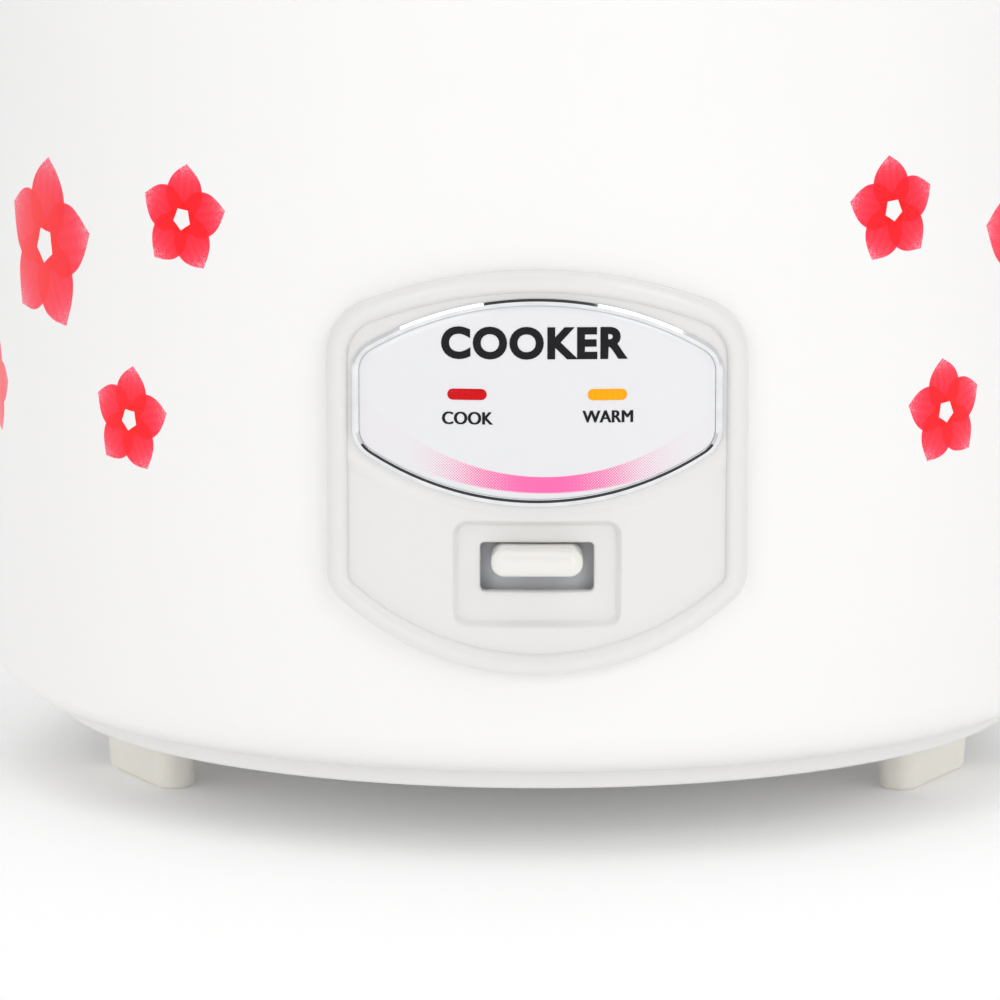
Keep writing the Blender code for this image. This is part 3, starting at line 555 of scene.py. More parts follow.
@dataclass(frozen=True)
class DrumPaint(Finish):
    """White enamel with five-petalled flowers, each read from the drum's own UV map."""

    petal_half_width: float = 0.43
    hole: float = 0.17

    def petal(self, shader: Shader, out: Value, turn: Value, step: int) -> Value:
        """The ink that one petal lays down.

        Args:
            shader: The graph to build in; not used here, as the values carry their own graph.
            out: The distance from the flower's middle, 1 at a petal's tip.
            turn: The angle from the nearest petal's own line, in radians.
            step: Which petal: 0 for the nearest, -1 and 1 for its neighbours.

        Returns:
            The density of the ink, 0 off the petal.
        """
        angle = turn + step * math.radians(72)
        along = out * angle.math("COSINE")
        across = (out * angle.math("SINE")).math("ABSOLUTE")
        reach = along.math("MAXIMUM", 0.0).math("MINIMUM", 1.0)
        bow = (1.0 - reach**5.0) ** 1.3
        base = 0.62 + reach.smooth(0.0, 0.42) * 0.38
        inside = (bow * base * self.petal_half_width - across).smooth(0.0, 0.02)
        vein = (across * 40.0).math("COSINE") * 0.04
        fade = 1.0 - (reach**2.6) * 0.68 + vein
        return inside * fade * along.smooth(0.0, 0.02)

    def dress(self, shader: Shader) -> bpy.types.Material:
        """Folds the flower to one petal and lays the nearest three over each other.

        Args:
            shader: The graph to build in.

        Returns:
            The finished material.
        """
        u, v, _ = shader.split(shader.node("ShaderNodeUVMap", {"uv_map": "flowers"}))
        wobble = shader.noise(90.0, 2.0)
        u = u + (wobble - 0.5) * 0.035
        v = v - (wobble - 0.5) * 0.035
        out = (u * u + v * v).math("SQRT")
        around = v.math("ARCTAN2", u)
        half = math.radians(36)
        turn = around.math("WRAP", half, -half)
        ink = self.petal(shader, out, turn, 0)
        beside = self.petal(shader, out, turn, 1) + self.petal(shader, out, turn, -1)
        ink = ink.math("MAXIMUM", beside * 0.9) + beside * 0.35
        ink = ink * (out * turn.math("COSINE")).smooth(self.hole - 0.008, self.hole + 0.008)
        grit = shader.noise(2600.0, 1.0).smooth(0.36, 0.60)
        worn = out.smooth(0.62, 1.0) * 0.5
        ink = ink * (1.0 - worn + worn * grit * 1.6) * 1.5
        paint = shader.node(
            "ShaderNodeCombineColor",
            inputs={
                0: (ink * 0.09).math("MINIMUM", 0.1).math("EXPONENT"),
                1: (ink * -2.75).math("EXPONENT"),
                2: (ink * -2.15).math("EXPONENT"),
            },
        )
        drift = shader.noise(9.0, 2.0)
        white = shader.mix(drift, self.shade(0.985), self.shade(1.01))
        colour = shader.node(
            "ShaderNodeMix",
            {"data_type": "RGBA", "blend_type": "MULTIPLY"},
            {0: 1.0, 6: white, 7: paint},
            output=2,
        )
        peel = shader.noise(420.0, 2.0)
        return shader.surface(
            Base_Color=colour,
            Roughness=self.roughness + (drift - 0.5) * 0.06,
            Specular_IOR_Level=0.2,
            Coat_Weight=0.15,
            Coat_Roughness=0.06,
            Normal=shader.bump(peel, 0.000018),
        )


@dataclass(frozen=True)
class LensPrint(Finish):
    """The label lens: pale plastic printed with a crescent of fine dots."""

    ink: Colour = (1.0, 0.115, 0.42)
    middle_x: float = 1.6
    inner_low: float = 85.7
    inner_radius: float = 53.0
    outer_low: float = 82.2
    outer_radius: float = 77.0
    pitch: float = 0.42

    def dress(self, shader: Shader) -> bpy.types.Material:
        """A dot screen whose strength falls off towards the crescent's ends.

        Args:
            shader: The graph to build in.

        Returns:
            The finished material.
        """
        x, _, z = shader.split(shader.place())
        x, z = x * 1000.0, z * 1000.0
        side = x - self.middle_x

        def beyond(low: float, radius: float) -> Value:
            """How far a point lies outside the arc that bottoms out at low."""
            down = z - (low + radius)
            return (side * side + down * down).math("SQRT") - radius

        band = beyond(self.inner_low, self.inner_radius).smooth(-0.15, 0.15)
        band = band * beyond(self.outer_low, self.outer_radius).smooth(0.25, -0.25)
        side = side.math("ABSOLUTE")
        strength = side.smooth(33.0, 3.0) * 0.9 + side.smooth(11.0, 2.0) * 0.15
        wave = 2 * math.pi / self.pitch
        rising = ((x + z) * (wave / 1.414)).math("COSINE")
        falling = ((x - z) * (wave / 1.414)).math("COSINE")
        dots = rising + falling
        screen = (dots * 0.25 + 0.5 + strength - 1.0).smooth(-0.16, 0.16)
        below = z.smooth(103.0, 101.0)
        cloud = shader.noise(12.0, 2.0)
        pale = shader.mix(cloud, self.shade(0.985), self.shade(1.01))
        return shader.surface(
            Base_Color=shader.mix(band * screen * below, pale, self.ink),
            Roughness=self.roughness + cloud * 0.05,
            Coat_Weight=0.8,
            Coat_Roughness=0.04,
            Normal=shader.bump(shader.noise(30.0, 1.0), 0.00004),
        )


@dataclass(frozen=True)
class StudioFloor(Finish):
    """The plain pale floor."""

    def dress(self, shader: Shader) -> bpy.types.Material:
        """Nearly one colour, with a breath of unevenness."""
        cloud = shader.noise(1.5, 2.0)
        return shader.surface(
            Base_Color=shader.mix(cloud, self.shade(0.99), self.colour),
            Roughness=self.roughness,
            Specular_IOR_Level=0.1,
            Emission_Color=(1.0, 1.0, 1.0, 1.0),
            Emission_Strength=0.07,
        )


class Look(Enum):
    """The finishes that the cooker's pieces choose from."""

    ENAMEL = DrumPaint("printed_enamel", (0.935, 0.928, 0.922), 0.30)
    PANEL = MouldedPlastic("panel_plastic", (0.805, 0.798, 0.785), 0.36, grain_depth=0.000006)
    WHITE = MouldedPlastic("white_plastic", (0.875, 0.87, 0.86), 0.34)
    IVORY = MouldedPlastic("ivory_plastic", (0.97, 0.935, 0.86), 0.42, coat=0.15, glow=0.15)
    KNOB = MouldedPlastic("knob_plastic", (0.86, 0.845, 0.81), 0.25, coat=0.6, glow=0.15)
    GREY = MouldedPlastic("grey_plastic", (0.58, 0.59, 0.62), 0.5, coat=0.05)
    SATIN = MouldedPlastic("silver_grey_plastic", (0.52, 0.53, 0.54), 0.38, coat=0.3)
    BLACK = MouldedPlastic("black_plastic", (0.03, 0.03, 0.032), 0.5, coat=0.05)
    CERAMIC = MouldedPlastic("terminal_ceramic", (0.74, 0.73, 0.69), 0.6, coat=0.0)
    SILICONE = MouldedPlastic("silicone_rubber", (0.70, 0.70, 0.67), 0.6, coat=0.0, glow=0.4)
    LENS = LensPrint("lens_print", (0.81, 0.812, 0.838), 0.2)
    CHROME = RolledMetal("chrome", (0.83, 0.84, 0.86), 0.05, scale=500.0, depth=0.000001)
    RED = LampPlastic("cook_lamp_red", (0.62, 0.003, 0.006), 0.2)
    AMBER = LampPlastic("warm_lamp_amber", (0.98, 0.40, 0.003), 0.2)
    CLEAR = ClearPlastic("clear_plastic", (0.93, 0.95, 0.96), 0.08)
    LAMP_GLASS = ClearPlastic("lamp_glass", (0.95, 0.80, 0.65), 0.05)
    CAST = TurnedMetal("cast_aluminium", (0.66, 0.66, 0.67), 0.42, lines=900.0)
    SPUN = TurnedMetal("spun_aluminium", (0.74, 0.74, 0.75), 0.30)
    ANODISED = TurnedMetal("anodised_aluminium", (0.36, 0.365, 0.37), 0.42, lines=1500.0)
    STEEL = TurnedMetal("pressed_steel", (0.60, 0.60, 0.61), 0.32)
    ZINC = RolledMetal("zinc_plate", (0.62, 0.62, 0.58), 0.38)
    BRASS = RolledMetal("nickelled_brass", (0.74, 0.70, 0.60), 0.25)
    FERRITE = RolledMetal("ferrite", (0.06, 0.06, 0.065), 0.6, scale=900.0)
    INK = Ink("black_ink", (0.012, 0.012, 0.014), 0.35)
    PALE_INK = Ink("pale_ink", (0.62, 0.62, 0.64), 0.5)
    WIRE_BROWN = MouldedPlastic("wire_brown", (0.16, 0.06, 0.03), 0.5, coat=0.1)
    WIRE_BLUE = MouldedPlastic("wire_blue", (0.03, 0.09, 0.40), 0.5, coat=0.1)
    WIRE_GREEN = MouldedPlastic("wire_green", (0.06, 0.30, 0.05), 0.5, coat=0.1)
    FLOOR = StudioFloor("studio_floor", (1.0, 1.0, 1.0), 0.6)


SLOT_LOOKS: dict[str, Look] = {
    "white_plastic": Look.WHITE,
    "painted_white": Look.WHITE,
    "ivory_plastic": Look.IVORY,
    "grey_plastic": Look.GREY,
    "chrome": Look.CHROME,
    "lens_white": Look.LENS,
    "cook_red": Look.RED,
    "warm_amber": Look.AMBER,
    "clear_plastic": Look.CLEAR,
    "aluminium": Look.CAST,
    "anodised_aluminium": Look.ANODISED,
    "steel": Look.STEEL,
    "zinc_steel": Look.ZINC,
    "silicone": Look.SILICONE,
    "ferrite": Look.FERRITE,
    "black_plastic": Look.BLACK,
    "brass": Look.BRASS,
    "lamp_glass": Look.LAMP_GLASS,
    "wire_brown": Look.WIRE_BROWN,
    "wire_blue": Look.WIRE_BLUE,
    "wire_green": Look.WIRE_GREEN,
    "wire_white": Look.CERAMIC,
}


# ---------------------------------------------------------------- outlines


def rounded(corners: Sequence[Corner], steps: int = 5, closed: bool = True) -> list[Point]:
    """Rounds the corners of an outline.

    Args:
        corners: Each corner's two coordinates and its radius.
        steps: How many parts each rounding has.
        closed: Whether the last corner joins the first.

    Returns:
        The rounded outline's points.
    """
    points: list[Point] = []
    count = len(corners)
    for index, (x, y, radius) in enumerate(corners):
        if radius <= 0 or (not closed and index in (0, count - 1)):
            points.append((x, y))
            continue
        here = Vector((x, y))
        before = Vector(corners[index - 1][:2]) - here
        after = Vector(corners[(index + 1) % count][:2]) - here
        half = before.angle(after) / 2
        limit = 0.49 * min(before.length, after.length)
        back = min(radius / math.tan(half), limit)
        radius = back * math.tan(half)
        start, end = here + before.normalized() * back, here + after.normalized() * back
        middle = here + (before.normalized() + after.normalized()).normalized() * (
            radius / math.sin(half)
        )
        first, last = start - middle, end - middle
        sweep = math.atan2(first.x * last.y - first.y * last.x, first.dot(last))
        for step in range(steps + 1):
            turned = Matrix.Rotation(sweep * step / steps, 2) @ first
            points.append(tuple(middle + turned))
    return points


def rectangle(half_w: float, low: float, high: float, radius: float) -> list[Point]:
    """A rounded rectangle's outline about x = 0."""
    corners = ((half_w, high), (-half_w, high), (-half_w, low), (half_w, low))
    return rounded([(x, z, radius) for x, z in corners], 8)


@dataclass(frozen=True)
class Barrel:
    """An outline with upright sides, bowed ends and rounded corners."""

    half_w: float
    top: float
    top_bow: float
    top_corner: float
    bottom: float
    bottom_bow: float
    bottom_corner: float

    def _half(self, height: float, bow: float, corner: float, sign: int) -> list[Point]:
        """The bow and the corner on the right side, from the middle outwards.

        Args:
            height: Where the bow's crown is.
            bow: The bow's radius.
            corner: The corner's radius.
            sign: 1 for the top and -1 for the bottom.

        Returns:
            The points.
        """
        across = self.half_w - corner
        up = math.sqrt((bow - corner) ** 2 - across**2)
        lean = math.atan2(across, up)
        points = []
        for step in range(25):
            angle = lean * step / 24
            points.append((bow * math.sin(angle), height - sign * bow * (1 - math.cos(angle))))
        corner_z = height - sign * (bow - up)
        for step in range(1, 13):
            angle = lean + (math.pi / 2 - lean) * step / 12
            x = across + corner * math.sin(angle)
            points.append((x, corner_z + sign * corner * math.cos(angle)))
        return points

    def outline(self, inset: float = 0.0) -> list[Point]:
        """The outline, drawn in by inset.

        Args:
            inset: How far inside the outline it lies.

        Returns:
            The closed outline.
        """
        drawn = Barrel(
            self.half_w - inset,
            self.top - inset,
            self.top_bow - inset,
            self.top_corner - inset,
            self.bottom + inset,
            self.bottom_bow - inset,
            self.bottom_corner - inset,
        )
        upper = drawn._half(drawn.top, drawn.top_bow, drawn.top_corner, 1)
        lower = drawn._half(drawn.bottom, drawn.bottom_bow, drawn.bottom_corner, -1)
        right = upper + lower[::-1]
        return right + [(-x, z) for x, z in right[-2:0:-1]]


PANEL = Barrel(45.3, 129.7, 100.0, 13.0, 42.6, 66.0, 8.0)
LENS = Barrel(39.7, 123.9, 70.0, 7.0, 79.2, 70.0, 7.0)


def by_angle(outline: Sequence[Point], middle: Point, count: int) -> list[Point]:
    """Points of an outline at even angles about a middle, so that outlines match up.

    Args:
        outline: A closed outline that the middle sees whole.
        middle: Where the rays start.
        count: How many rays there are.

    Returns:
        One point for each ray, turning from +x towards +z.
    """
    sides = list(zip(outline, [*outline[1:], outline[0]]))
    found = []
    for index in range(count):
        angle = 2 * math.pi * (index + 0.5) / count
        ray = (math.cos(angle), math.sin(angle))
        best = 0.0
        for (ax, az), (bx, bz) in sides:
            px, pz, qx, qz = ax - middle[0], az - middle[1], bx - ax, bz - az
            turn = ray[0] * qz - ray[1] * qx
            if abs(turn) < 1e-12:
                continue
            share = (px * ray[1] - pz * ray[0]) / turn
            away = (px * qz - pz * qx) / turn
            if -1e-9 <= share <= 1 + 1e-9 and away > best:
                best = away
        found.append((middle[0] + best * ray[0], middle[1] + best * ray[1]))
    return found


def distance_to(outline: Sequence[Point], x: float, z: float) -> float:
    """The distance to an outline, negative inside it.

    Args:
        outline: A closed outline.
        x: The point's first coordinate.
        z: The point's second coordinate.

    Returns:
        The signed distance.
    """
    nearest, inside = 1e9, False
    for (ax, az), (bx, bz) in zip(outline, [*outline[1:], outline[0]]):
        dx, dz = bx - ax, bz - az
        share = ((x - ax) * dx + (z - az) * dz) / max(dx * dx + dz * dz, 1e-12)
        share = max(0.0, min(1.0, share))
        nearest = min(nearest, math.hypot(x - ax - share * dx, z - az - share * dz))
        if (az > z) != (bz > z) and x < ax + dx * (z - az) / dz:
            inside = not inside
    return -nearest if inside else nearest


def step(value: float, low: float, high: float) -> float:
    """A soft step from 0 at low to 1 at high."""
    share = max(0.0, min(1.0, (value - low) / (high - low)))
    return share * share * (3 - 2 * share)


# ---------------------------------------------------------------- shapes


def loft(
    rings: Sequence[Sequence[Sequence[float]]], joined: bool = False
) -> bmesh.types.BMesh:
    """A closed solid through rings of matching points.

    Args:
        rings: The rings in order; all have the same number of points.
        joined: Whether the last ring joins the first, as in a hoop; otherwise the
            first and the last ring are closed by a fan.

    Returns:
        The solid, with its faces pointing out.
    """
    shape = bmesh.new()
    made = [[shape.verts.new(p) for p in ring] for ring in rings]
    pairs = list(zip(made, made[1:] + made[:1] if joined else made[1:]))
    for first, second in pairs:
        count = len(first)
        for i in range(count):
            j = (i + 1) % count
            shape.faces.new((first[i], first[j], second[j], second[i]))
    if not joined:
        for ring in (made[0], made[-1]):
            middle = shape.verts.new(sum((v.co for v in ring), Vector()) / len(ring))
            for i, vertex in enumerate(ring):
                shape.faces.new((vertex, ring[(i + 1) % len(ring)], middle))
    bmesh.ops.recalc_face_normals(shape, faces=shape.faces)
    return shape


def turned(profile: Sequence[Point], segments: int = ROUND) -> bmesh.types.BMesh:
    """A solid turned about the cooker's axis.

    Args:
        profile: Radius and height of each point; a profile that starts and ends on
            the axis makes a full solid, and any other is closed to a hoop.
        segments: How many steps the turn has.

    Returns:
        The solid.
    """
    shape = bmesh.new()
    rows = []
    for radius, z in profile:
        if radius < 1e-6:
            rows.append([shape.verts.new((0.0, 0.0, z))] * segments)
            continue
        angles = [2 * math.pi * i / segments - math.pi / 2 for i in range(segments)]
        rows.append(
            [shape.verts.new((radius * math.cos(a), radius * math.sin(a), z)) for a in angles]
        )
    full = profile[0][0] < 1e-6 and profile[-1][0] < 1e-6
    for first, second in zip(rows, rows[1:] if full else rows[1:] + rows[:1]):
        for i in range(segments):
            j = (i + 1) % segments
            corners = dict.fromkeys((first[i], first[j], second[j], second[i]))
            if len(corners) > 2:
                shape.faces.new(tuple(corners))
    bmesh.ops.recalc_face_normals(shape, faces=shape.faces)
    return shape


def moved(shape: bmesh.types.BMesh, matrix: Matrix) -> bmesh.types.BMesh:
    """The shape, moved by a matrix."""
    bmesh.ops.transform(shape, matrix=matrix, verts=shape.verts)
    return shape


def block(
    low: Sequence[float], high: Sequence[float], radius: float = 0.0, steps: int = 4
) -> bmesh.types.BMesh:
    """A box with rounded edges.

    Args:
        low: Its lowest corner.
        high: Its highest corner.
        radius: The rounding of every edge.
        steps: How many parts each rounding has.

    Returns:
        The solid.
    """
    shape = bmesh.new()
    low, high = Vector(low), Vector(high)
    size = Matrix.Diagonal((*(high - low), 1.0))
    bmesh.ops.create_cube(shape, size=1.0, matrix=Matrix.Translation((low + high) / 2) @ size)
    if radius:
        bmesh.ops.bevel(
            shape,
            geom=shape.edges[:],
            offset=radius,
            segments=steps,
            profile=0.5,
            affect="EDGES",
            clamp_overlap=True,
        )
    return shape


def rod(
    radius: float,
    start: Sequence[float],
    end: Sequence[float],
    edge: float = 0.0,
    segments: int = 64,
) -> bmesh.types.BMesh:
    """A round rod with rounded ends.

    Args:
        radius: Its radius.
        start: The middle of one end.
        end: The middle of the other end.
        edge: The rounding of its end edges.
        segments: How many steps it has round.

    Returns:
        The solid.
    """
    start, end = Vector(start), Vector(end)
    length = (end - start).length
    profile = rounded(
        [(0, length, 0), (radius, length, edge), (radius, 0, edge), (0, 0, 0)], 5, False
    )
    shape = turned(profile, segments)
    turn = (end - start).to_track_quat("Z", "Y").to_matrix().to_4x4()
    return moved(shape, Matrix.Translation(start) @ turn)


def sweep(
    path: Sequence[Sequence[float]], section: Callable[[float], list[Point]]
) -> bmesh.types.BMesh:
    """A section drawn along a path that lies in one level plane.

    Args:
        path: The path's points.
        section: Gives the section, across and up, at a share of the path.

    Returns:
        The solid.
    """
    points = [Vector(p) for p in path]
    rings = []
    for i, point in enumerate(points):
        ahead = points[min(i + 1, len(points) - 1)] - points[max(i - 1, 0)]
        side = Vector((ahead.y, -ahead.x, 0)).normalized()
        outline = section(i / (len(points) - 1))
        rings.append([point + side * across + Vector((0, 0, up)) for across, up in outline])
    return loft(rings)


def together(*shapes: bmesh.types.BMesh) -> bmesh.types.BMesh:
    """Several solids in one mesh, left as they are."""
    joint = bmesh.new()
    for shape in shapes:
        mesh = bpy.data.meshes.new("part")
        shape.to_mesh(mesh)
        shape.free()
        joint.from_mesh(mesh)
        bpy.data.meshes.remove(mesh)
    return joint


def loose_object(name: str, shape: bmesh.types.BMesh) -> bpy.types.Object:
    """A passing object that holds a shape, for a modifier to work on.

    Args:
        name: The object's name.
        shape: What it holds, freed here.

    Returns:
        The object, linked to the scene.
    """
    mesh = bpy.data.meshes.new(name)
    shape.to_mesh(mesh)
    shape.free()
    obj = bpy.data.objects.new(name, mesh)
    bpy.context.scene.collection.objects.link(obj)
    return obj


def carved(
    shape: bmesh.types.BMesh, tool: bmesh.types.BMesh, operation: str = "DIFFERENCE"
) -> bmesh.types.BMesh:
    """A shape after an exact Boolean.

    Args:
        shape: What is worked on.
        tool: What is taken off, joined on or intersected with.
        operation: The Boolean's operation.

    Returns:
        The result.
    """
    target, other = loose_object("worked", shape), loose_object("tool", tool)
    modifier = target.modifiers.new("cut", "BOOLEAN")
    modifier.operation = operation
    modifier.object = other
    modifier.solver = "EXACT"
    result = baked(target)
    bpy.data.objects.remove(other)
    return result


def on_drum(x: float, z: float, radius: float) -> tuple[float, float, float]:
    """The point of a front face at x and z, on the cylinder of a radius."""
    return (x, -math.sqrt(radius * radius - x * x), z)


def curved_slab(
    outline: Callable[[float], list[Point]],
    layers: Sequence[Point],
    middle: Point,
    count: int = 288,
    hoop: bool = False,
    inner_rings: int = 0,
) -> bmesh.types.BMesh:
    """A piece that follows the drum's front, from rings of one outline.

    Args:
        outline: Gives the outline drawn in by an amount.
        layers: How far each ring is drawn in, and its radius on the drum.
        middle: Where the rays that match the rings start.
        count: How many points each ring has.
        hoop: Whether the last ring joins the first.
        inner_rings: Rings added inside the last one, at its radius, towards the middle.

    Returns:
        The solid.
    """
    rings = [
        [on_drum(x, z, radius) for x, z in by_angle(outline(inset), middle, count)]
        for inset, radius in layers
    ]
    inset, radius = layers[-1]
    last = by_angle(outline(inset), middle, count)
    for index in range(1, inner_rings + 1):
        share = 1 - index / (inner_rings + 1)
        scaled = [
            (middle[0] + (x - middle[0]) * share, middle[1] + (z - middle[1]) * share)
            for x, z in last
        ]
        rings.append([on_drum(x, z, radius) for x, z in scaled])
    return loft(rings, hoop)


def lettering(
    words: str, cap: float, at: Point, weight: float, width: float = 1.0
) -> bmesh.types.BMesh:
    """Raised lettering, flat in x and z, its outer face towards -y.

    Args:
        words: What it says, in capitals or figures.
        cap: The height of a capital.
        at: The middle of the words.
        weight: How much the strokes are thickened, as a share of the size; a negative
            one prints the word twice, side by side, which suits narrow joints.
        width: How much wider than usual it is drawn.

    Returns:
        The solid letters, their y from 0 out to -0.06.
    """
    if weight < 0:
        shift = -weight * cap
        left = lettering(words, cap, (at[0] - shift, at[1]), 0.0, width)
        right = lettering(words, cap, (at[0] + shift, at[1]), 0.0, width)
        return carved(left, right, "UNION")
    curve = bpy.data.curves.new(words, "FONT")
    curve.body = words
    curve.offset = weight
    curve.extrude = 0.5
    curve.resolution_u = 6
    curve.space_character = 1.02 + weight * 2
    holder = bpy.data.objects.new(words, curve)
    bpy.context.scene.collection.objects.link(holder)
    shape = baked(holder)
    bmesh.ops.remove_doubles(shape, verts=shape.verts, dist=0.0001)
    xs = [v.co.x for v in shape.verts]
    ys = [v.co.y for v in shape.verts]
    scale = cap / (max(ys) - min(ys))
    middle_x, middle_y = (max(xs) + min(xs)) / 2, (max(ys) + min(ys)) / 2
    for vertex in shape.verts:
        x, y, depth = vertex.co
        vertex.co = (
            at[0] + (x - middle_x) * scale * width,
            -0.06 * (depth + 0.5),
            at[1] + (y - middle_y) * scale,
        )
    bmesh.ops.recalc_face_normals(shape, faces=shape.faces)
    return shape


# ---------------------------------------------------------------- assemblies


@dataclass
class Assembly:
    """A sub-assembly that rides on one body of the frame."""

    body: str

    def add(
        self,
        name: str,
        shape: bmesh.types.BMesh,
        look: Look,
        replaces: Iterable[str] = (),
        sharp: float = 38.0,
    ) -> bpy.types.Object:
        """Makes a finished piece, in place and riding on its body.

        Args:
            name: The piece's name.
            shape: Its mesh, in millimetres about the drum's axis.
            look: Its finish.
            replaces: The CAD nodes that it stands for.
            sharp: The angle past which an edge stays sharp, in degrees.

        Returns:
            The new object.
        """
        moved(shape, Matrix.Translation((0, AXIS_Y * MM, 0)) @ Matrix.Scale(MM, 4))
        mesh = bpy.data.meshes.new(name)
        shape.to_mesh(mesh)
        shape.free()
        mesh.materials.clear()
        mesh.materials.append(look.value.material())
        mesh.polygons.foreach_set("material_index", [0] * len(mesh.polygons))
        mesh.shade_smooth()
        mesh.set_sharp_from_angle(angle=math.radians(sharp))
        piece = bpy.data.objects.new(name, mesh)
        bpy.context.scene.collection.objects.link(piece)
        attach(piece, self.body)
        if replaces:
            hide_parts(*replaces)
        LOG.info("%s: %d faces on %s", name, len(mesh.polygons), self.body)
        return piece

    def build(self) -> None:
        """Makes the assembly's pieces."""
        raise NotImplementedError


@dataclass(frozen=True)
class Flower:
    """One printed flower: its place on the drum, its reach and how it is turned."""

    angle: float
    height: float
    reach: float
    turn: float

    def local(self, angle: float, height: float, drum_radius: float) -> Point:
        """A point of the drum in the flower's own plane, 1 at a petal's tip.

        Args:
            angle: The point's angle from the front, in degrees.
            height: The point's height.
            drum_radius: The drum's radius.

        Returns:
            The two coordinates.
        """
        around = (angle - self.angle + 180) % 360 - 180
        x = math.radians(around) * drum_radius / self.reach
        z = (height - self.height) / self.reach
        turn = math.radians(self.turn)
        return (
            x * math.cos(turn) + z * math.sin(turn),
            -x * math.sin(turn) + z * math.cos(turn),
        )


@dataclass
class Drum(Assembly):
    """The painted drum, its bottom cover, its feet and their screws."""

    radius: float = 131.0
    wall: float = 1.2
    top: float = 202.0
    fillet_top: float = 29.0
    fillet_bottom: float = 18.3
    lip_radius: float = 116.5
    floor_bottom: float = 14.0
    foot_circle: float = 98.4
    foot_angles: tuple[float, ...] = (-67.5, 67.5, 180.0)
    foot_turns: tuple[float, ...] = (-61.3, 61.3, 180.0)
    flowers: list[Flower] = field(default_factory=list)

    def __post_init__(self) -> None:
        """Lays the flowers out, the same on both sides of the panel."""
        one_side = (
            (-36.1, 138.1, 12.2, 83),
            (-43.5, 92.7, 12.2, 83),
            (-57.9, 129.0, 20.3, 83),
            (-74.2, 93.5, 12.0, 80),
            (-84.5, 141.0, 12.2, 60),
            (-104.0, 118.0, 20.3, 40),
            (-122.0, 88.0, 12.2, 100),
            (-128.0, 140.0, 12.2, 70),
            (-152.0, 124.0, 20.3, 95),
            (-166.0, 92.0, 12.2, 50),
        )
        for angle, height, reach, turn in one_side:
            self.flowers.append(Flower(angle, height, reach, turn))
            self.flowers.append(Flower(-angle, height + 2, reach, 180 - turn))

    def _print(self, shape: bmesh.types.BMesh) -> None:
        """Gives each face of the wall the plane of the flower nearest to it."""
        uv = shape.loops.layers.uv.new("flowers")
        for face in shape.faces:
            middle = face.calc_center_median()
            outer = math.hypot(middle.x, middle.y) > self.radius - 0.4
            if not outer or middle.z < self.fillet_top:
                for loop in face.loops:
                    loop[uv].uv = (3.0, 3.0)
                continue
            angle = math.degrees(math.atan2(middle.x, -middle.y))
            nearest = min(
                self.flowers,
                key=lambda f: math.hypot(*f.local(angle, middle.z, self.radius)),
            )
            for loop in face.loops:
                x, y, z = loop.vert.co
                corner = math.degrees(math.atan2(x, -y))
                loop[uv].uv = nearest.local(corner, z, self.radius)

    def shell(self) -> None:
        """The drum's shell: a straight wall that turns in under a soft edge."""
        across = self.radius - self.lip_radius
        drop = self.fillet_top - self.fillet_bottom
        rows = 46
        span = self.top - 1.0 - self.fillet_top
        wall = [(self.radius, self.top - 1.0 - span * i / rows) for i in range(rows)]
        quarter = [math.pi / 2 * i / 18 for i in range(19)]
        outside = [
            (self.lip_radius + across * math.cos(t), self.fillet_top - drop * math.sin(t))
            for t in quarter
        ]
        across, drop = across - self.wall, drop - self.wall
        inside = [
            (self.lip_radius + across * math.cos(t), self.fillet_top - drop * math.sin(t))
            for t in quarter[::-1]
        ]
        flange = self.lip_radius - 5
        bottom = [(flange, self.fillet_bottom), (flange, self.fillet_bottom + self.wall)]
        inner = self.radius - self.wall
        rim = [(inner, self.top), (self.radius - 0.5, self.top), (self.radius, self.top - 0.5)]
        shell = turned([*rim, *wall, *outside, *bottom, *inside], 256)
        self._print(shell)
        window = [(x, y, z) for y in (-140, -110) for x, z in rectangle(36, 55, 122, 4)]
        half = len(window) // 2
        shell = carved(shell, loft([window[:half], window[half:]]))
        shell = carved(shell, block((-17.4, 110, 30.6), (17.4, 140, 57.4), 1.0))
        self.add("drum_shell", shell, Look.ENAMEL, ["outer_shell"])

    def cover(self) -> None:
        """The bottom cover, with its rounded lip, its ribs and its vents."""
        low = self.floor_bottom
        lip = self.lip_radius - 0.2
        profile = rounded(
            [
                (0, low + 2.2, 0),
                (106, low + 2.2, 0.4),
                (106, low + 6.6, 0.4),
                (108.5, low + 6.6, 0.4),
                (108.5, low + 4.0, 0.3),
                (lip, low + 4.0, 0.3),
                (lip, low, 1.1),
                (111, low, 0.5),
                (110, low + 0.7, 0.5),
                (70, low + 0.7, 0.5),
                (69, low, 0.5),
                (27, low, 0.5),
                (26, low + 0.7, 0.5),
                (0, low + 0.7, 0),
            ],
            4,
            False,
        )
        cover = turned(profile, ROUND)
        slots = Growth("vent_slots")
        count = slots.size("Count", 20)
        ring = slots.node(
            "GeometryNodeMeshCircle",
            inputs={"Vertices": count, "Radius": slots.size("Middle Radius", 48.0)},
        )
        bar_size = slots.size("Slot Size", (28.0, 3.2, 9.0))
        bar = slots.node("GeometryNodeMeshCube", inputs={"Size": bar_size})
        angle = slots.node("GeometryNodeInputIndex") * slots.math("DIVIDE", 2 * math.pi, count)
        turn = slots.node("ShaderNodeCombineXYZ", inputs={2: angle})
        bars = slots.node(
            "GeometryNodeInstanceOnPoints",
            inputs={"Points": ring, "Instance": bar, "Rotation": turn},
        )
        vents = moved(slots.grow(bars, Look.WHITE.value), Matrix.Translation((0, 0, low + 1)))
        cover = carved(cover, vents)
        holes = [
            rod(2.2, (*self.foot_place(a), low - 3), (*self.foot_place(a), low + 5), segments=24)
            for a in self.foot_angles
        ]
        cover = carved(cover, together(*holes))
        self.add("bottom_cover", cover, Look.WHITE, ["base_plate"])

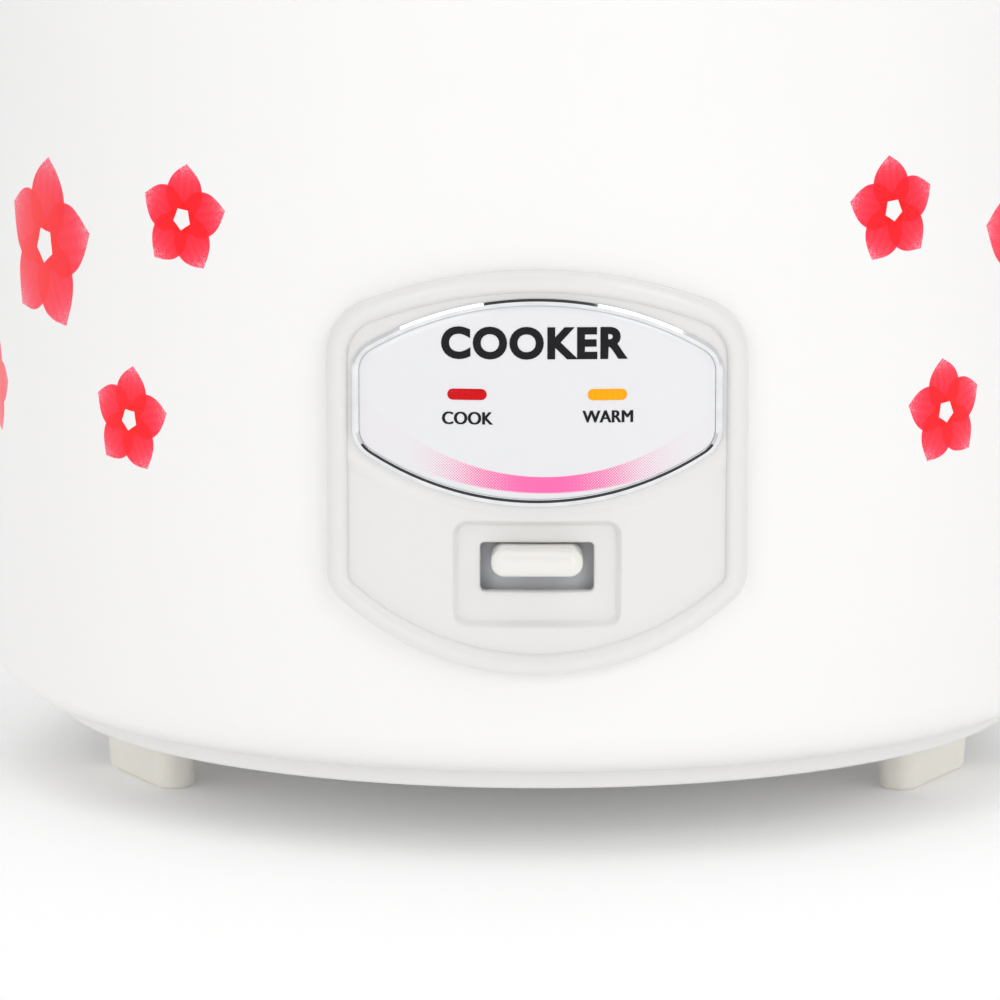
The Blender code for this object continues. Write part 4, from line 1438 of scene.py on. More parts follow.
    def foot_place(self, angle: float) -> Point:
        """The middle of the foot at an angle from the front."""
        turn = math.radians(angle)
        return self.foot_circle * math.sin(turn), -self.foot_circle * math.cos(turn)

    def foot(self, name: str, angle: float, turn: float) -> None:
        """One moulded foot, drafted and rounded, with its screw's counterbore.

        Args:
            name: The CAD node that it stands for.
            angle: Its angle from the front, in degrees.
            turn: How far it is turned itself, in degrees.
        """
        count = 120
        ring = [2 * math.pi * (i + 0.5) / count for i in range(count)]

        def outer(inset: float, z: float) -> list[tuple[float, float, float]]:
            """The foot's outline, drawn in, at a height."""
            shape = rectangle(17.5 - inset, -5.2 + inset, 5.2 - inset, max(4.5 - inset, 1.5))
            return [(x, y, z) for x, y in by_angle(shape, (0, 0), count)]

        def bore(radius: float, z: float) -> list[tuple[float, float, float]]:
            """A ring of the counterbore."""
            return [(radius * math.cos(a), radius * math.sin(a), z) for a in ring]

        soft = [
            outer(0.5 + 1.3 * (1 - math.cos(t)), 1.8 * (1 - math.sin(t)))
            for t in (math.pi / 2 * i / 8 for i in range(9))
        ]
        rings = [outer(0.3, 13.7), outer(0.0, 13.3), outer(0.0, 9.0), *soft]
        rings += [bore(3.3, 0.0), bore(3.25, 0.4), bore(3.2, 6.4), bore(2.3, 6.4), bore(2.3, 13.7)]
        x, y = self.foot_place(angle)
        place = Matrix.Translation((x, y, 0)) @ Matrix.Rotation(math.radians(turn), 4, "Z")
        foot = moved(loft(rings, joined=True), place)
        self.add(f"moulded_{name}", foot, Look.IVORY, [name])

    def screws(self) -> None:
        """The three foot screws: pan heads with a cross recess, grown on a ring."""
        tree = Growth("foot_screws")
        line = tree.node(
            "GeometryNodeMeshLine", inputs={"Count": tree.size("Count", 3), "Offset": (0, 0, 0)}
        )
        index = tree.node("GeometryNodeInputIndex")
        front = index.math("LESS_THAN", 1.5)
        side = index * 2.0 - 1.0
        angle = side * front * math.radians(self.foot_angles[1]) + (1.0 - front) * math.pi
        circle = tree.size("Screw Circle", self.foot_circle)
        x = circle * angle.math("SINE")
        y = circle * angle.math("COSINE") * -1.0
        place = tree.node("ShaderNodeCombineXYZ", inputs={0: x, 1: y, 2: 0.0})
        ring = tree.node("GeometryNodeSetPosition", inputs={"Geometry": line, "Position": place})
        head_radius = tree.size("Head Radius", 2.9)
        head = tree.node(
            "GeometryNodeMeshCylinder",
            inputs={"Vertices": 32, "Radius": head_radius, "Depth": tree.size("Head Height", 2.4)},
        )
        shank = tree.node(
            "GeometryNodeMeshCylinder",
            inputs={"Vertices": 24, "Radius": tree.size("Shank Radius", 1.75), "Depth": 12.0},
        )
        shank = tree.node(
            "GeometryNodeTransform", inputs={"Geometry": shank, "Translation": (0, 0, 7.0)}
        )
        slot_size = tree.size("Recess Size", (3.6, 0.8, 2.0))
        slot = tree.node("GeometryNodeMeshCube", inputs={"Size": slot_size})
        low = tree.node(
            "GeometryNodeTransform", inputs={"Geometry": slot, "Translation": (0, 0, -1.2)}
        )
        across = tree.node(
            "GeometryNodeTransform",
            inputs={"Geometry": low, "Rotation": (0.0, 0.0, math.pi / 2)},
        )
        difference = {"operation": "DIFFERENCE"}
        cut = tree.node("GeometryNodeMeshBoolean", difference, {0: head, 1: low})
        cut = tree.node("GeometryNodeMeshBoolean", difference, {0: cut, 1: across})
        screw = tree.node(
            "GeometryNodeMeshBoolean", {"operation": "UNION", "solver": "EXACT"}, {1: cut}
        )
        boolean = screw.socket.node
        tree.tree.links.new(shank.socket, boolean.inputs[1])
        placed = tree.node(
            "GeometryNodeInstanceOnPoints", inputs={"Points": ring, "Instance": screw}
        )
        shape = tree.grow(placed, Look.ZINC.value)
        shape = moved(shape, Matrix.Translation((0, 0, 5.0)))
        nodes = [f"foot_screw_{side}" for side in ("front_left", "front_right", "rear")]
        self.add("foot_screws", shape, Look.ZINC, nodes)

    def build(self) -> None:
        """Makes the drum's pieces."""
        self.shell()
        self.cover()
        sides = ("front_left", "front_right", "rear")
        for side, angle, turn in zip(sides, self.foot_angles, self.foot_turns):
            self.foot(f"foot_{side}", angle, turn)
        self.screws()


@dataclass
class ControlPanel(Assembly):
    """The panel on the drum's front: rim, face, lens, trim, lamps and lettering."""

    back: float = 130.7
    face: float = 133.6
    rim_width: float = 4.7
    slot_middle: Point = (0.0, 65.8)
    lens_middle: Point = (0.0, 101.4)
    lens_face: float = 134.2
    lamp_x: float = 14.9
    lamp_z: float = 103.3

    def rim(self) -> None:
        """The broad rounded rim round the whole panel."""
        crest = self.face + 2.0
        layers = [(0.0, self.back), (0.0, 132.2)]
        for i in range(17):
            t = math.pi * i / 16
            across = 2.45 * (1 - math.cos(t)) * 0.98
            layers.append((across, 132.6 + (crest - 132.6) * math.sin(t) ** 0.7))
        layers += [(5.0, 132.8), (5.0, self.back)]
        rim = curved_slab(PANEL.outline, layers, (0.0, 86.0), 360, hoop=True)
        self.add("panel_rim", rim, Look.PANEL, ["control_panel"])

    def plate(self) -> None:
        """The face plate, with the switch recess, the slot and the lens seat."""
        recess = rectangle(18.0, 53.1, 76.0, 3.0)
        lens = LENS.outline()

        def height(x: float, z: float) -> float:
            """The face's radius at a point.

            Args:
                x: Across the front.
                z: Up the front.

            Returns:
                The radius from the drum's axis.
            """
            well = distance_to(recess, x, z)
            edge = distance_to(lens, x, z)
            radius = self.face - 2.0 * (1 - step(well, -1.2, 0.2))
            if edge > 0:
                bead = math.exp(-(((edge - 3.0) / 1.1) ** 2)) * 0.32
                radius += bead * (1 - step(z, 92.0, 102.0))
            return radius - 1.2 * (1 - step(edge, -0.9, -0.5))

        count = 300

        def ring(outline: list[Point]) -> list[Point]:
            """An outline's points at even angles about the slot."""
            return by_angle(outline, self.slot_middle, count)

        slot = ring(rectangle(12.15, 60.5, 71.1, 1.0))
        keys = [
            (ring(rectangle(12.6, 60.05, 71.55, 1.4)), 3),
            (ring(rectangle(16.3, 54.8, 74.3, 1.9)), 6),
            (ring(rectangle(18.6, 52.5, 76.6, 3.4)), 12),
            (ring(PANEL.outline(self.rim_width - 0.2)), 84),
        ]
        floor_r = self.face - 2.0
        rings = [[on_drum(x, z, 128.9) for x, z in slot]]
        rings.append([on_drum(x, z, floor_r - 0.4) for x, z in slot])
        start = slot
        for index, (outline, parts) in enumerate(keys):
            for part in range(1, parts + 1):
                share = part / parts
                points = []
                for (ax, az), (bx, bz) in zip(start, outline):
                    x, z = ax + (bx - ax) * share, az + (bz - az) * share
                    radius = height(x, z) if index else floor_r - 0.4 * (1 - share) ** 2
                    points.append(on_drum(x, z, radius))
                rings.append(points)
            start = outline
        rings.append([on_drum(x, z, self.back) for x, z in start])
        back = ring(rectangle(34.8, 56.2, 120.8, 4.0))
        rings.append([on_drum(x, z, self.back) for x, z in back])
        rings.append([on_drum(x, z, 128.9) for x, z in back])
        self.add("panel_face", loft(rings, joined=True), Look.PANEL)

    def lens(self) -> None:
        """The label lens and the bright trim round it."""
        trim = 1.6
        layers = [(trim, 132.9), (trim, 133.9), (trim + 0.15, 134.1), (trim + 0.4, self.lens_face)]
        lens = curved_slab(LENS.outline, layers, self.lens_middle, inner_rings=16)
        self.add("label_lens", lens, Look.LENS, ["panel_lens"])
        ridge = 134.48
        layers = [(0.0, 132.8), (0.0, 134.2), (0.1, 134.3), (0.7, ridge), (0.9, ridge)]
        layers += [(trim - 0.1, 134.3), (trim, 134.2), (trim, 132.8)]
        ring = curved_slab(LENS.outline, layers, self.lens_middle, 360, hoop=True)
        self.add("bright_trim", ring, Look.CHROME, ["lens_trim"], 10)

    def lamps(self) -> None:
        """The two lamp windows, a little domed."""
        for name, side, look in (("cook", -1, Look.RED), ("warm", 1, Look.AMBER)):
            x = side * self.lamp_x

            def outline(inset: float, x: float = x) -> list[Point]:
                """The window's outline, drawn in by inset.

                Args:
                    inset: How far inside the outline it lies.
                    x: The window's middle.

                Returns:
                    The closed outline.
                """
                half = 1.2 - inset
                shape = rectangle(4.2 - inset, self.lamp_z - half, self.lamp_z + half, half * 0.98)
                return [(px + x, pz) for px, pz in shape]

            layers = [(0.0, 133.8), (0.0, 134.25), (0.12, 134.38), (0.4, 134.46), (0.8, 134.5)]
            window = curved_slab(outline, layers, (x, self.lamp_z), 96, inner_rings=2)
            self.add(f"{name}_lamp_window", window, look, [f"{name}_window"])

    def words(self) -> None:
        """The printed words: what the thing is, and what the lamps mean."""
        lines = (
            ("heading", "COOKER", 7.0, (-0.6, 114.3), 0.045, 1.0),
            ("cook_label", "COOK", 2.7, (-self.lamp_x + 0.1, 98.2), -0.05, 0.92),
            ("warm_label", "WARM", 2.6, (self.lamp_x + 0.1, 98.6), -0.05, 0.92),
        )
        for name, words, cap, at, weight, width in lines:
            shape = lettering(words, cap, at, weight, width)
            for vertex in shape.verts:
                x, depth, z = vertex.co
                vertex.co = on_drum(x, z, self.lens_face + 0.02 - depth)
            self.add(name, shape, Look.INK)

    def build(self) -> None:
        """Makes the panel's pieces."""
        self.rim()
        self.plate()
        self.lens()
        self.lamps()
        self.words()


@dataclass
class CookSwitch(Assembly):
    """The knob that is pressed down to start cooking."""

    half_w: float = 9.75
    low: float = 64.8
    high: float = 70.8
    nose: float = -140.2
    tail: float = -126.7

    def build(self) -> None:
        """A soft bar, its nose rolled and its ends full."""
        knob = block((-self.half_w, self.nose, self.low), (self.half_w, self.tail, self.high))
        forward = [e for e in knob.edges if min(v.co.y for v in e.verts) < self.nose + 1]
        bmesh.ops.bevel(
            knob, geom=forward, offset=2.75, segments=8, profile=0.5, affect="EDGES"
        )
        self.add("knob_bar", knob, Look.KNOB, ["cook_knob"])


@dataclass
class TopRing(Assembly):
    """The moulded ring on the drum, with the hinge lugs and the handle seats."""

    inner: float = 112.5
    outer: float = 132.0
    low: float = 202.3
    high: float = 214.0
    hinge_y: float = 134.0
    hinge_z: float = 211.0
    pivot_z: float = 208.0

    def build(self) -> None:
        """Turns the ring, joins its lugs and seats, and bores them."""
        profile = rounded(
            [
                (self.outer - 0.8, self.high, 1.0),
                (self.outer, self.high - 2.0, 0.8),
                (self.outer, self.low, 0.5),
                (129.4, self.low, 0.2),
                (129.4, self.low - 4.4, 0.4),
                (127.6, self.low - 4.4, 0.4),
                (127.6, self.low - 1.3, 0.4),
                (121.0, self.low - 1.3, 0.4),
                (121.0, self.low - 4.5, 0.4),
                (self.inner, self.low - 4.5, 0.4),
                (self.inner, self.high - 3.0, 0.8),
                (self.inner + 3.0, self.high - 0.6, 1.2),
                (self.inner + 5.0, self.high, 0.6),
            ]
        )
        ring = turned(profile)
        ring = carved(ring, block((-33, 122, self.low), (33, 138.6, 210), 1.2), "UNION")
        for side in (-1, 1):
            seat_low, seat_high = sorted((side * 124.0, side * 133.8))
            seat = block((seat_low, -10, 202.8), (seat_high, 10, 213.4), 2.2, 5)
            ring = carved(ring, seat, "UNION")
            inner_end = (side * 19.2, self.hinge_y, self.hinge_z)
            outer_end = (side * 33, self.hinge_y, self.hinge_z)
            ends = (inner_end, outer_end)
            ring = carved(ring, rod(5.0, *ends, 0.7), "UNION")
        ring = carved(ring, block((-18.8, 121, 205), (18.8, 145, 222), 0.6))
        ring = carved(ring, block((-10, -125, 205), (10, -116.5, 222), 0.6))
        ends = ((-40, self.hinge_y, self.hinge_z), (40, self.hinge_y, self.hinge_z))
        ring = carved(ring, rod(2.2, *ends, segments=32))
        for side in (-1, 1):
            ends = ((side * 125, 0, self.pivot_z), (side * 150, 0, self.pivot_z))
            ring = carved(ring, rod(3.3, *ends, segments=32))
            cap = rod(6.4, (side * 145.4, 0, self.pivot_z), (side * 147.5, 0, self.pivot_z), 1.2)
            shank_ends = ((side * 128, 0, self.pivot_z), (side * 146, 0, self.pivot_z))
            shank = rod(3.0, *shank_ends, segments=32)
            label = "left" if side < 0 else "right"
            pivot = carved(cap, shank, "UNION")
            self.add(f"pivot_cap_{label}", pivot, Look.SATIN, [f"handle_pivot_{label}"])
        self.add("collar_ring", ring, Look.WHITE, ["top_ring"])
        pin_ends = ((-32.6, self.hinge_y, self.hinge_z), (32.6, self.hinge_y, self.hinge_z))
        pin = rod(1.9, *pin_ends, 0.4, 32)
        self.add("hinge_rod", pin, Look.STEEL, ["hinge_pin"])
        self.spring()

    def spring(self) -> None:
        """The torsion spring round the hinge pin, grown along a spiral."""
        tree = Growth("lid_spring")
        path = tree.node(
            "GeometryNodeCurveSpiral",
            inputs={
                "Resolution": 24,
                "Rotations": tree.size("Turns", 5.0),
                "Start Radius": tree.size("Coil Radius", 3.2),
                "End Radius": 3.2,
                "Height": tree.size("Coil Length", 10.4),
            },
        )
        wire = tree.node(
            "GeometryNodeCurvePrimitiveCircle",
            inputs={"Resolution": 10, "Radius": tree.size("Wire Radius", 0.6)},
        )
        coil = tree.node(
            "GeometryNodeCurveToMesh",
            inputs={"Curve": path, "Profile Curve": wire, "Fill Caps": True},
        )
        shape = tree.grow(coil, Look.STEEL.value)
        place = Matrix.Translation((-5.2, self.hinge_y, self.hinge_z))
        moved(shape, place @ Matrix.Rotation(math.radians(90), 4, "Y"))
        bmesh.ops.remove_doubles(shape, verts=shape.verts, dist=0.0001)
        bmesh.ops.recalc_face_normals(shape, faces=shape.faces)
        self.add("hinge_spring", shape, Look.STEEL, ["lid_spring"], 60)


@dataclass
class CookingChamber(Assembly):
    """The liner inside the drum."""

    radius: float = 112.5

    def build(self) -> None:
        """Turns the pressed liner."""
        profile = rounded(
            [
                (122, 197.5, 0.3),
                (122, 196.5, 0.3),
                (self.radius, 196.5, 0.8),
                (self.radius, 36, 8),
                (20, 36, 0.2),
                (20, 37, 0.2),
                (self.radius - 1, 37, 7),
                (self.radius - 1, 197.5, 1.0),
            ],
            6,
        )
        liner = turned(profile)
        holes = [
            rod(5.2, (56.02, side * 15.01, 33), (56.02, side * 15.01, 40), segments=32)
            for side in (-1, 1)
        ]
        liner = carved(liner, together(*holes))
        self.add("chamber_liner", liner, Look.STEEL, ["inner_case"])


@dataclass
class Pot(Assembly):
    """The cooking pot, with its rolled rim and its water scale."""

    radius: float = 104.0
    wall: float = 1.6
    floor: float = 57.4
    rim: float = 203.0

    def build(self) -> None:
        """Turns the pot and adds the scale on its wall."""
        inner = self.radius - self.wall
        profile = rounded(
            [
                (0, self.floor + self.wall, 0),
                (inner, self.floor + self.wall, 4.6),
                (inner, self.rim - 2.0, 2.4),
                (inner + 4.0, self.rim, 1.2),
                (self.radius + 5, self.rim, 0.8),
                (self.radius + 5, self.rim - 1.7, 0.8),
                (self.radius, self.rim - 2.0, 1.2),
                (self.radius, self.floor, 6),
                (0, self.floor, 0),
            ],
            7,
            False,
        )
        self.add("cooking_pot", turned(profile), Look.ANODISED, ["inner_pot"])
        tree = Growth("water_scale")
        line = tree.node(
            "GeometryNodeMeshLine",
            inputs={
                "Count": tree.size("Marks", 9),
                "Start Location": (0.0, inner - 0.05, 82.0),
                "Offset": tree.size("Mark Step", (0.0, 0.0, 10.5)),
            },
        )
        odd = tree.node("GeometryNodeInputIndex").math("MODULO", 2.0)
        scale = tree.node("ShaderNodeCombineXYZ", inputs={0: 1.0 - odd * 0.45, 1: 1.0, 2: 1.0})
        mark_size = tree.size("Mark Size", (9.0, 0.3, 0.6))
        mark = tree.node("GeometryNodeMeshCube", inputs={"Size": mark_size})
        marks = tree.node(
            "GeometryNodeInstanceOnPoints",
            inputs={"Points": line, "Instance": mark, "Scale": scale},
        )
        self.add("water_scale_marks", tree.grow(marks, Look.PALE_INK.value), Look.PALE_INK)
        figures = []
        for index, figure in enumerate(("2", "4", "6", "8", "10")):
            shape = lettering(figure, 4.0, (0.0, 0.0), 0.01)
            turn = Matrix.Rotation(math.radians(-5), 4, "Z")
            place = Matrix.Translation((0, inner - 0.05, 82.0 + index * 21.0))
            figures.append(moved(shape, turn @ place))
        self.add("water_scale_figures", together(*figures), Look.PALE_INK)


@dataclass
class Lid(Assembly):
    """The hinged lid: dome, liner, inner plate, gasket and the button's well."""

    base: float = 214.6
    radius: float = 131.3
    rise: float = 45.9
    wall: float = 2.2
    vent: float = 16.0
    hinge_y: float = 134.0
    hinge_z: float = 211.0

    def height(self, radius: float, drop: float = 0.0) -> float:
        """The dome's height at a radius, lowered along its normal by about drop.

        Args:
            radius: The distance from the axis.
            drop: How far inside the dome.

        Returns:
            The height.
        """
        reach = self.radius - drop
        rise = self.rise - 6 - drop
        return self.base + 6 + rise * (1 - min(1.0, radius / reach) ** 2.7) ** 0.47

    def dome_line(self, drop: float, start: float, groove: bool = False) -> list[Point]:
        """The dome's line from near the middle out to its side.

        Args:
            drop: How far inside the dome the line runs.
            start: The radius that it starts at.
            groove: Whether the line has the ring pressed into the dome.

        Returns:
            The line's points, falling outwards.
        """
        reach = self.radius - drop
        line = []
        for i in range(61):
            share = math.sin(math.pi / 2 * i / 60)
            radius = start + (reach - start) * share
            z = self.height(radius, drop)
            if groove:
                z -= 0.9 * math.exp(-(((radius - 30.0) / 1.3) ** 2))
                z -= 0.5 * step(radius, 32.0, 28.0) if radius < 28 else 0.0
            line.append((radius, z))
        return line

    def solid(self, swell: float) -> bmesh.types.BMesh:
        """The whole dome as a full solid, grown by swell, to trim pieces with.

        Args:
            swell: How much larger than the dome it is.

        Returns:
            The solid.
        """
        line = self.dome_line(-swell, 0.5)
        reach = self.radius + swell
        return turned([(0, line[0][1]), *line, (reach, self.base - 5), (0, self.base - 5)], 128)

    def shell(self) -> None:
        """The dome, its hinge knuckles and the opening for the button."""
        outer = self.dome_line(0.0, self.vent, True)
        inner = self.dome_line(self.wall, self.vent)
        edge = [(self.radius, self.base + 0.9), (self.radius - 0.3, self.base + 0.25)]
        edge += [(self.radius - 0.9, self.base), (self.radius - self.wall, self.base)]
        lid = turned([*outer, *edge, *inner[::-1]])
        for side in (-1, 1):
            low, high = sorted((side * 7.0, side * 18.0))
            web = block((low, 128.9, 208.2), (high, self.hinge_y, 218.5), 0.8)
            lid = carved(lid, web, "UNION")
            ends = ((low, self.hinge_y, self.hinge_z), (high, self.hinge_y, self.hinge_z))
            lid = carved(lid, rod(5.0, *ends, 0.6), "UNION")
        ends = ((-40, self.hinge_y, self.hinge_z), (40, self.hinge_y, self.hinge_z))
        lid = carved(lid, rod(2.2, *ends, segments=32))
        lid = carved(lid, self.opening(13.4))
        self.add("lid_dome", lid, Look.WHITE, ["lid_outer"])

    def opening(self, half_w: float) -> bmesh.types.BMesh:
        """The cutter of the button's opening."""
        outline = rectangle(half_w, 226.0, 256.0, 3.4)
        return loft([[(x, y, z) for x, z in outline] for y in (-140, -108)])

    def well(self) -> None:
        """The lined well that the button slides in."""
        outline = rectangle(14.2, 225.1, 258.0, 4.0)
        tray = loft([[(x, y, z) for x, z in outline] for y in (-132, -107)])
        tray = carved(tray, self.opening(13.4))
        tray = carved(tray, self.solid(-0.4), "INTERSECT")
        tray = carved(tray, block((-7.6, -124, 220), (7.6, -115, 228)))
        self.add("button_well", tray, Look.WHITE)

    def lining(self) -> None:
        """The liner, the inner plate with its perforations, and the gasket."""
        inner = self.radius - self.wall - 0.3
        profile = rounded(
            [
                (12.6, 246, 0.4),
                (12.6, 217, 0.8),
                (inner, 217, 0.4),
                (inner, 215, 0.4),
                (102, 215, 0.8),
                (102, 209.6, 0.5),
                (100.4, 209.6, 0.5),
                (100.4, 215, 1.2),
                (12.6, 215, 0.8),
                (12.6, 210, 0.4),
                (11, 210, 0.4),
                (11, 246, 0.4),
            ],
            4,
        )
        liner = turned(profile)
        liner = carved(liner, block((-8, -127, 207), (8, -115.5, 222)))
        self.add("lid_lining", liner, Look.WHITE, ["lid_liner"])
        plate = rounded(
            [
                (103, 209.2, 0.4),
                (103, 208, 0.4),
                (96, 205.5, 1.5),
                (62, 205.5, 1.0),
                (60, 206.1, 1.0),
                (44, 206.1, 1.0),
                (42, 205.5, 1.0),
                (9, 205.5, 0.3),
                (9, 206.7, 0.3),
                (41, 206.7, 1.0),
                (43, 207.3, 1.0),
                (61, 207.3, 1.0),
                (63, 206.7, 1.0),
                (95.6, 206.7, 1.5),
                (101.5, 209.2, 0.6),
            ],
            4,
        )
        plate_shape = carved(turned(plate), self.perforations())
        self.add("lid_plate", plate_shape, Look.SPUN, ["lid_inner_plate"])
        gasket = rounded(
            [
                (109.6, 209, 1.2),
                (109.6, 205.4, 0.8),
                (108.4, 204.2, 0.5),
                (109.4, 203.4, 0.4),
                (105.2, 203.4, 0.8),
                (103.4, 205.0, 0.8),
                (103.4, 209, 1.2),
            ],
            4,
        )
        self.add("lid_seal", turned(gasket), Look.SILICONE, ["lid_gasket"])

    def perforations(self) -> bmesh.types.BMesh:
        """Cutters for the steam holes round the middle of the inner plate."""
        tree = Growth("steam_holes")
        ring = tree.node(
            "GeometryNodeMeshCircle",
            inputs={
                "Vertices": tree.size("Holes", 16),
                "Radius": tree.size("Hole Circle", 24.0),
            },
        )
        hole = tree.node(
            "GeometryNodeMeshCylinder",
            inputs={"Vertices": 20, "Radius": tree.size("Hole Radius", 1.6), "Depth": 8.0},
        )
        holes = tree.node(
            "GeometryNodeInstanceOnPoints", inputs={"Points": ring, "Instance": hole}
        )
        return moved(tree.grow(holes, Look.SPUN.value), Matrix.Translation((0, 0, 206)))

    def build(self) -> None:
        """Makes the lid's pieces."""
        self.shell()
        self.well()
        self.lining()


@dataclass
class Latch(Assembly):
    """The release button and its hook."""

    lid: Lid

    def build(self) -> None:
        """Shapes the button to the dome and grows its grip ribs."""
        outline = rectangle(13.0, 226.4, 256.0, 3.0)
        button = loft([[(x, y, z) for x, z in outline] for y in (-129.0, -113.0)])
        button = carved(button, self.lid.solid(0.6), "INTERSECT")
        self.add("release_button", button, Look.SATIN, ["lid_button"])
        tree = Growth("button_ribs")
        line = tree.node(
            "GeometryNodeMeshLine",
            inputs={
                "Count": tree.size("Ribs", 4),
                "Start Location": tree.size("First Rib", (0.0, -128.7, 229.6)),
                "Offset": tree.size("Rib Step", (0.0, 0.62, 1.7)),
            },
        )
        path = tree.node(
            "GeometryNodeCurvePrimitiveLine",
            inputs={"Start": (-8.0, 0.0, 0.0), "End": (8.0, 0.0, 0.0)},
        )
        wire = tree.node(
            "GeometryNodeCurvePrimitiveCircle", inputs={"Resolution": 12, "Radius": 0.42}
        )
        bar = tree.node(
            "GeometryNodeCurveToMesh",
            inputs={"Curve": path, "Profile Curve": wire, "Fill Caps": True},
        )
        ribs = tree.node("GeometryNodeInstanceOnPoints", inputs={"Points": line, "Instance": bar})
        shape = tree.grow(ribs, Look.SATIN.value)
        bmesh.ops.remove_doubles(shape, verts=shape.verts, dist=0.0001)
        bmesh.ops.recalc_face_normals(shape, faces=shape.faces)
        self.add("button_ribs", shape, Look.SATIN)
        hook = block((-6.5, -121.8, 206.6), (6.5, -119.4, 226.1), 0.4)
        toe = block((-6.5, -124.4, 206.6), (6.5, -119.8, 209.4), 0.4)
        self.add("latch_tongue", carved(hook, toe, "UNION"), Look.IVORY, ["latch_hook"])


@dataclass
class SteamCap(Assembly):
    """The pull-out steam cap."""

    seat: float = 260.5

    def build(self) -> None:
        """Turns the cap and cuts its slots."""
        top = self.seat
        profile = rounded(
            [
                (2.6, top + 2.4, 0.3),
                (5.0, top + 2.4, 0.6),
                (6.0, top + 3.2, 0.6),
                (14.6, top + 3.1, 1.5),
                (18.4, top + 1.9, 1.2),
                (19.0, top + 0.6, 0.4),
                (15.6, top + 0.4, 0.3),
                (15.6, 245, 0.4),
                (14.2, 245, 0.4),
                (14.2, top - 0.6, 0.8),
                (2.6, top - 0.6, 0.3),
            ],
            4,
        )
        cap = turned(profile, 96)
        tree = Growth("steam_slots")
        count = tree.size("Slots", 12)
        ring = tree.node(
            "GeometryNodeMeshCircle",
            inputs={"Vertices": count, "Radius": tree.size("Slot Circle", 10.4)},
        )
        bar_size = tree.size("Slot Size", (4.6, 1.3, 10.0))
        bar = tree.node("GeometryNodeMeshCube", inputs={"Size": bar_size})
        angle = tree.node("GeometryNodeInputIndex") * tree.math("DIVIDE", 2 * math.pi, count)
        turn = tree.node("ShaderNodeCombineXYZ", inputs={2: angle})
        slots = tree.node(
            "GeometryNodeInstanceOnPoints",
            inputs={"Points": ring, "Instance": bar, "Rotation": turn},
        )
        cutters = moved(tree.grow(slots, Look.WHITE.value), Matrix.Translation((0, 0, top + 1)))
        self.add("vent_cap", carved(cap, cutters), Look.SATIN, ["steam_cap"])


@dataclass
class BailHandle(Assembly):
    """The carry handle, laid back behind the lid."""

    half_span: float = 139.7
    reach: float = 152.0
    level: float = 208.0

    def section(self, share: float) -> list[Point]:
        """The handle's section, thicker in the grip.

        Args:
            share: How far along the handle it is.

        Returns:
            The section's outline.
        """
        grip = step(share, 0.36, 0.42) * (1 - step(share, 0.58, 0.64))
        across, up = 3.9 + 1.1 * grip, 4.7 + 0.4 * grip
        radius = 2.6 + 1.6 * grip
        corners = [(across, up), (-across, up), (-across, -up), (across, -up)]
        return rounded([(x, z, radius) for x, z in corners], 6)

    def build(self) -> None:
        """Sweeps the bail, joins its eyes and bores them."""
        angles = [math.pi * i / 120 for i in range(121)]
        path = [
            (self.half_span * math.cos(a), self.reach * math.sin(a), self.level) for a in angles
        ]
        handle = sweep(path, self.section)
        for side in (-1, 1):
            ends = ((side * 134.3, 0, self.level), (side * 145.1, 0, self.level))
            handle = carved(handle, rod(8.0, *ends, 1.2), "UNION")
        for side in (-1, 1):
            ends = ((side * 130, 0, self.level), (side * 150, 0, self.level))
            handle = carved(handle, rod(3.3, *ends, segments=32))
        self.add("bail", handle, Look.WHITE, ["carry_handle"])


@dataclass
class RearFittings(Assembly):
    """The mains inlet."""

    def build(self) -> None:
        """Shapes the inlet's housing, its socket keyed at two corners."""
        housing = block((-17, 117, 31), (17, 137, 57), 2.0, 5)
        key = rounded(
            [
                (12.3, 52.3, 1.0),
                (-12.3, 52.3, 1.0),
                (-12.3, 39.6, 1.0),
                (-8.4, 35.7, 1.0),
                (8.4, 35.7, 1.0),
                (12.3, 39.6, 1.0),
            ]
        )
        socket = loft([[(x, y, z) for x, z in key] for y in (121.5, 145)])
        housing = carved(housing, socket)
        groove = rounded([(x * 1.08, 44 + (z - 44) * 1.1, 1.2) for x, z in key[::6]])
        lead_in = loft([[(x, y, z) for x, z in groove] for y in (136.2, 145)])
        housing = carved(housing, lead_in)
        self.add("inlet_housing", housing, Look.BLACK, ["power_inlet"])


@dataclass
class DewCup(Assembly):
    """The clear cup that catches condensate from the lid."""

    def build(self) -> None:
        """A thin cup with a flat back, a rounded front and a rolled edge."""
        count = 160
        rings = []
        for inset, z in (
            (1.6, 174.0),
            (0.4, 174.6),
            (0.0, 175.8),
            (0.0, 197.2),
            (0.3, 197.9),
            (1.1, 197.9),
            (1.3, 197.2),
            (1.3, 177.0),
            (1.9, 175.6),
        ):
            low, high = 131.6 + inset, 143.6 - inset
            outline = rectangle(17.0 - inset, low, high, max(3.4 - inset, 1.2))
            rings.append([(x, y, z) for x, y in by_angle(outline, (0, 137.6), count)])
        self.add("dew_cup", loft(rings), Look.CLEAR, ["dew_collector"])


# ---------------------------------------------------------------- studio


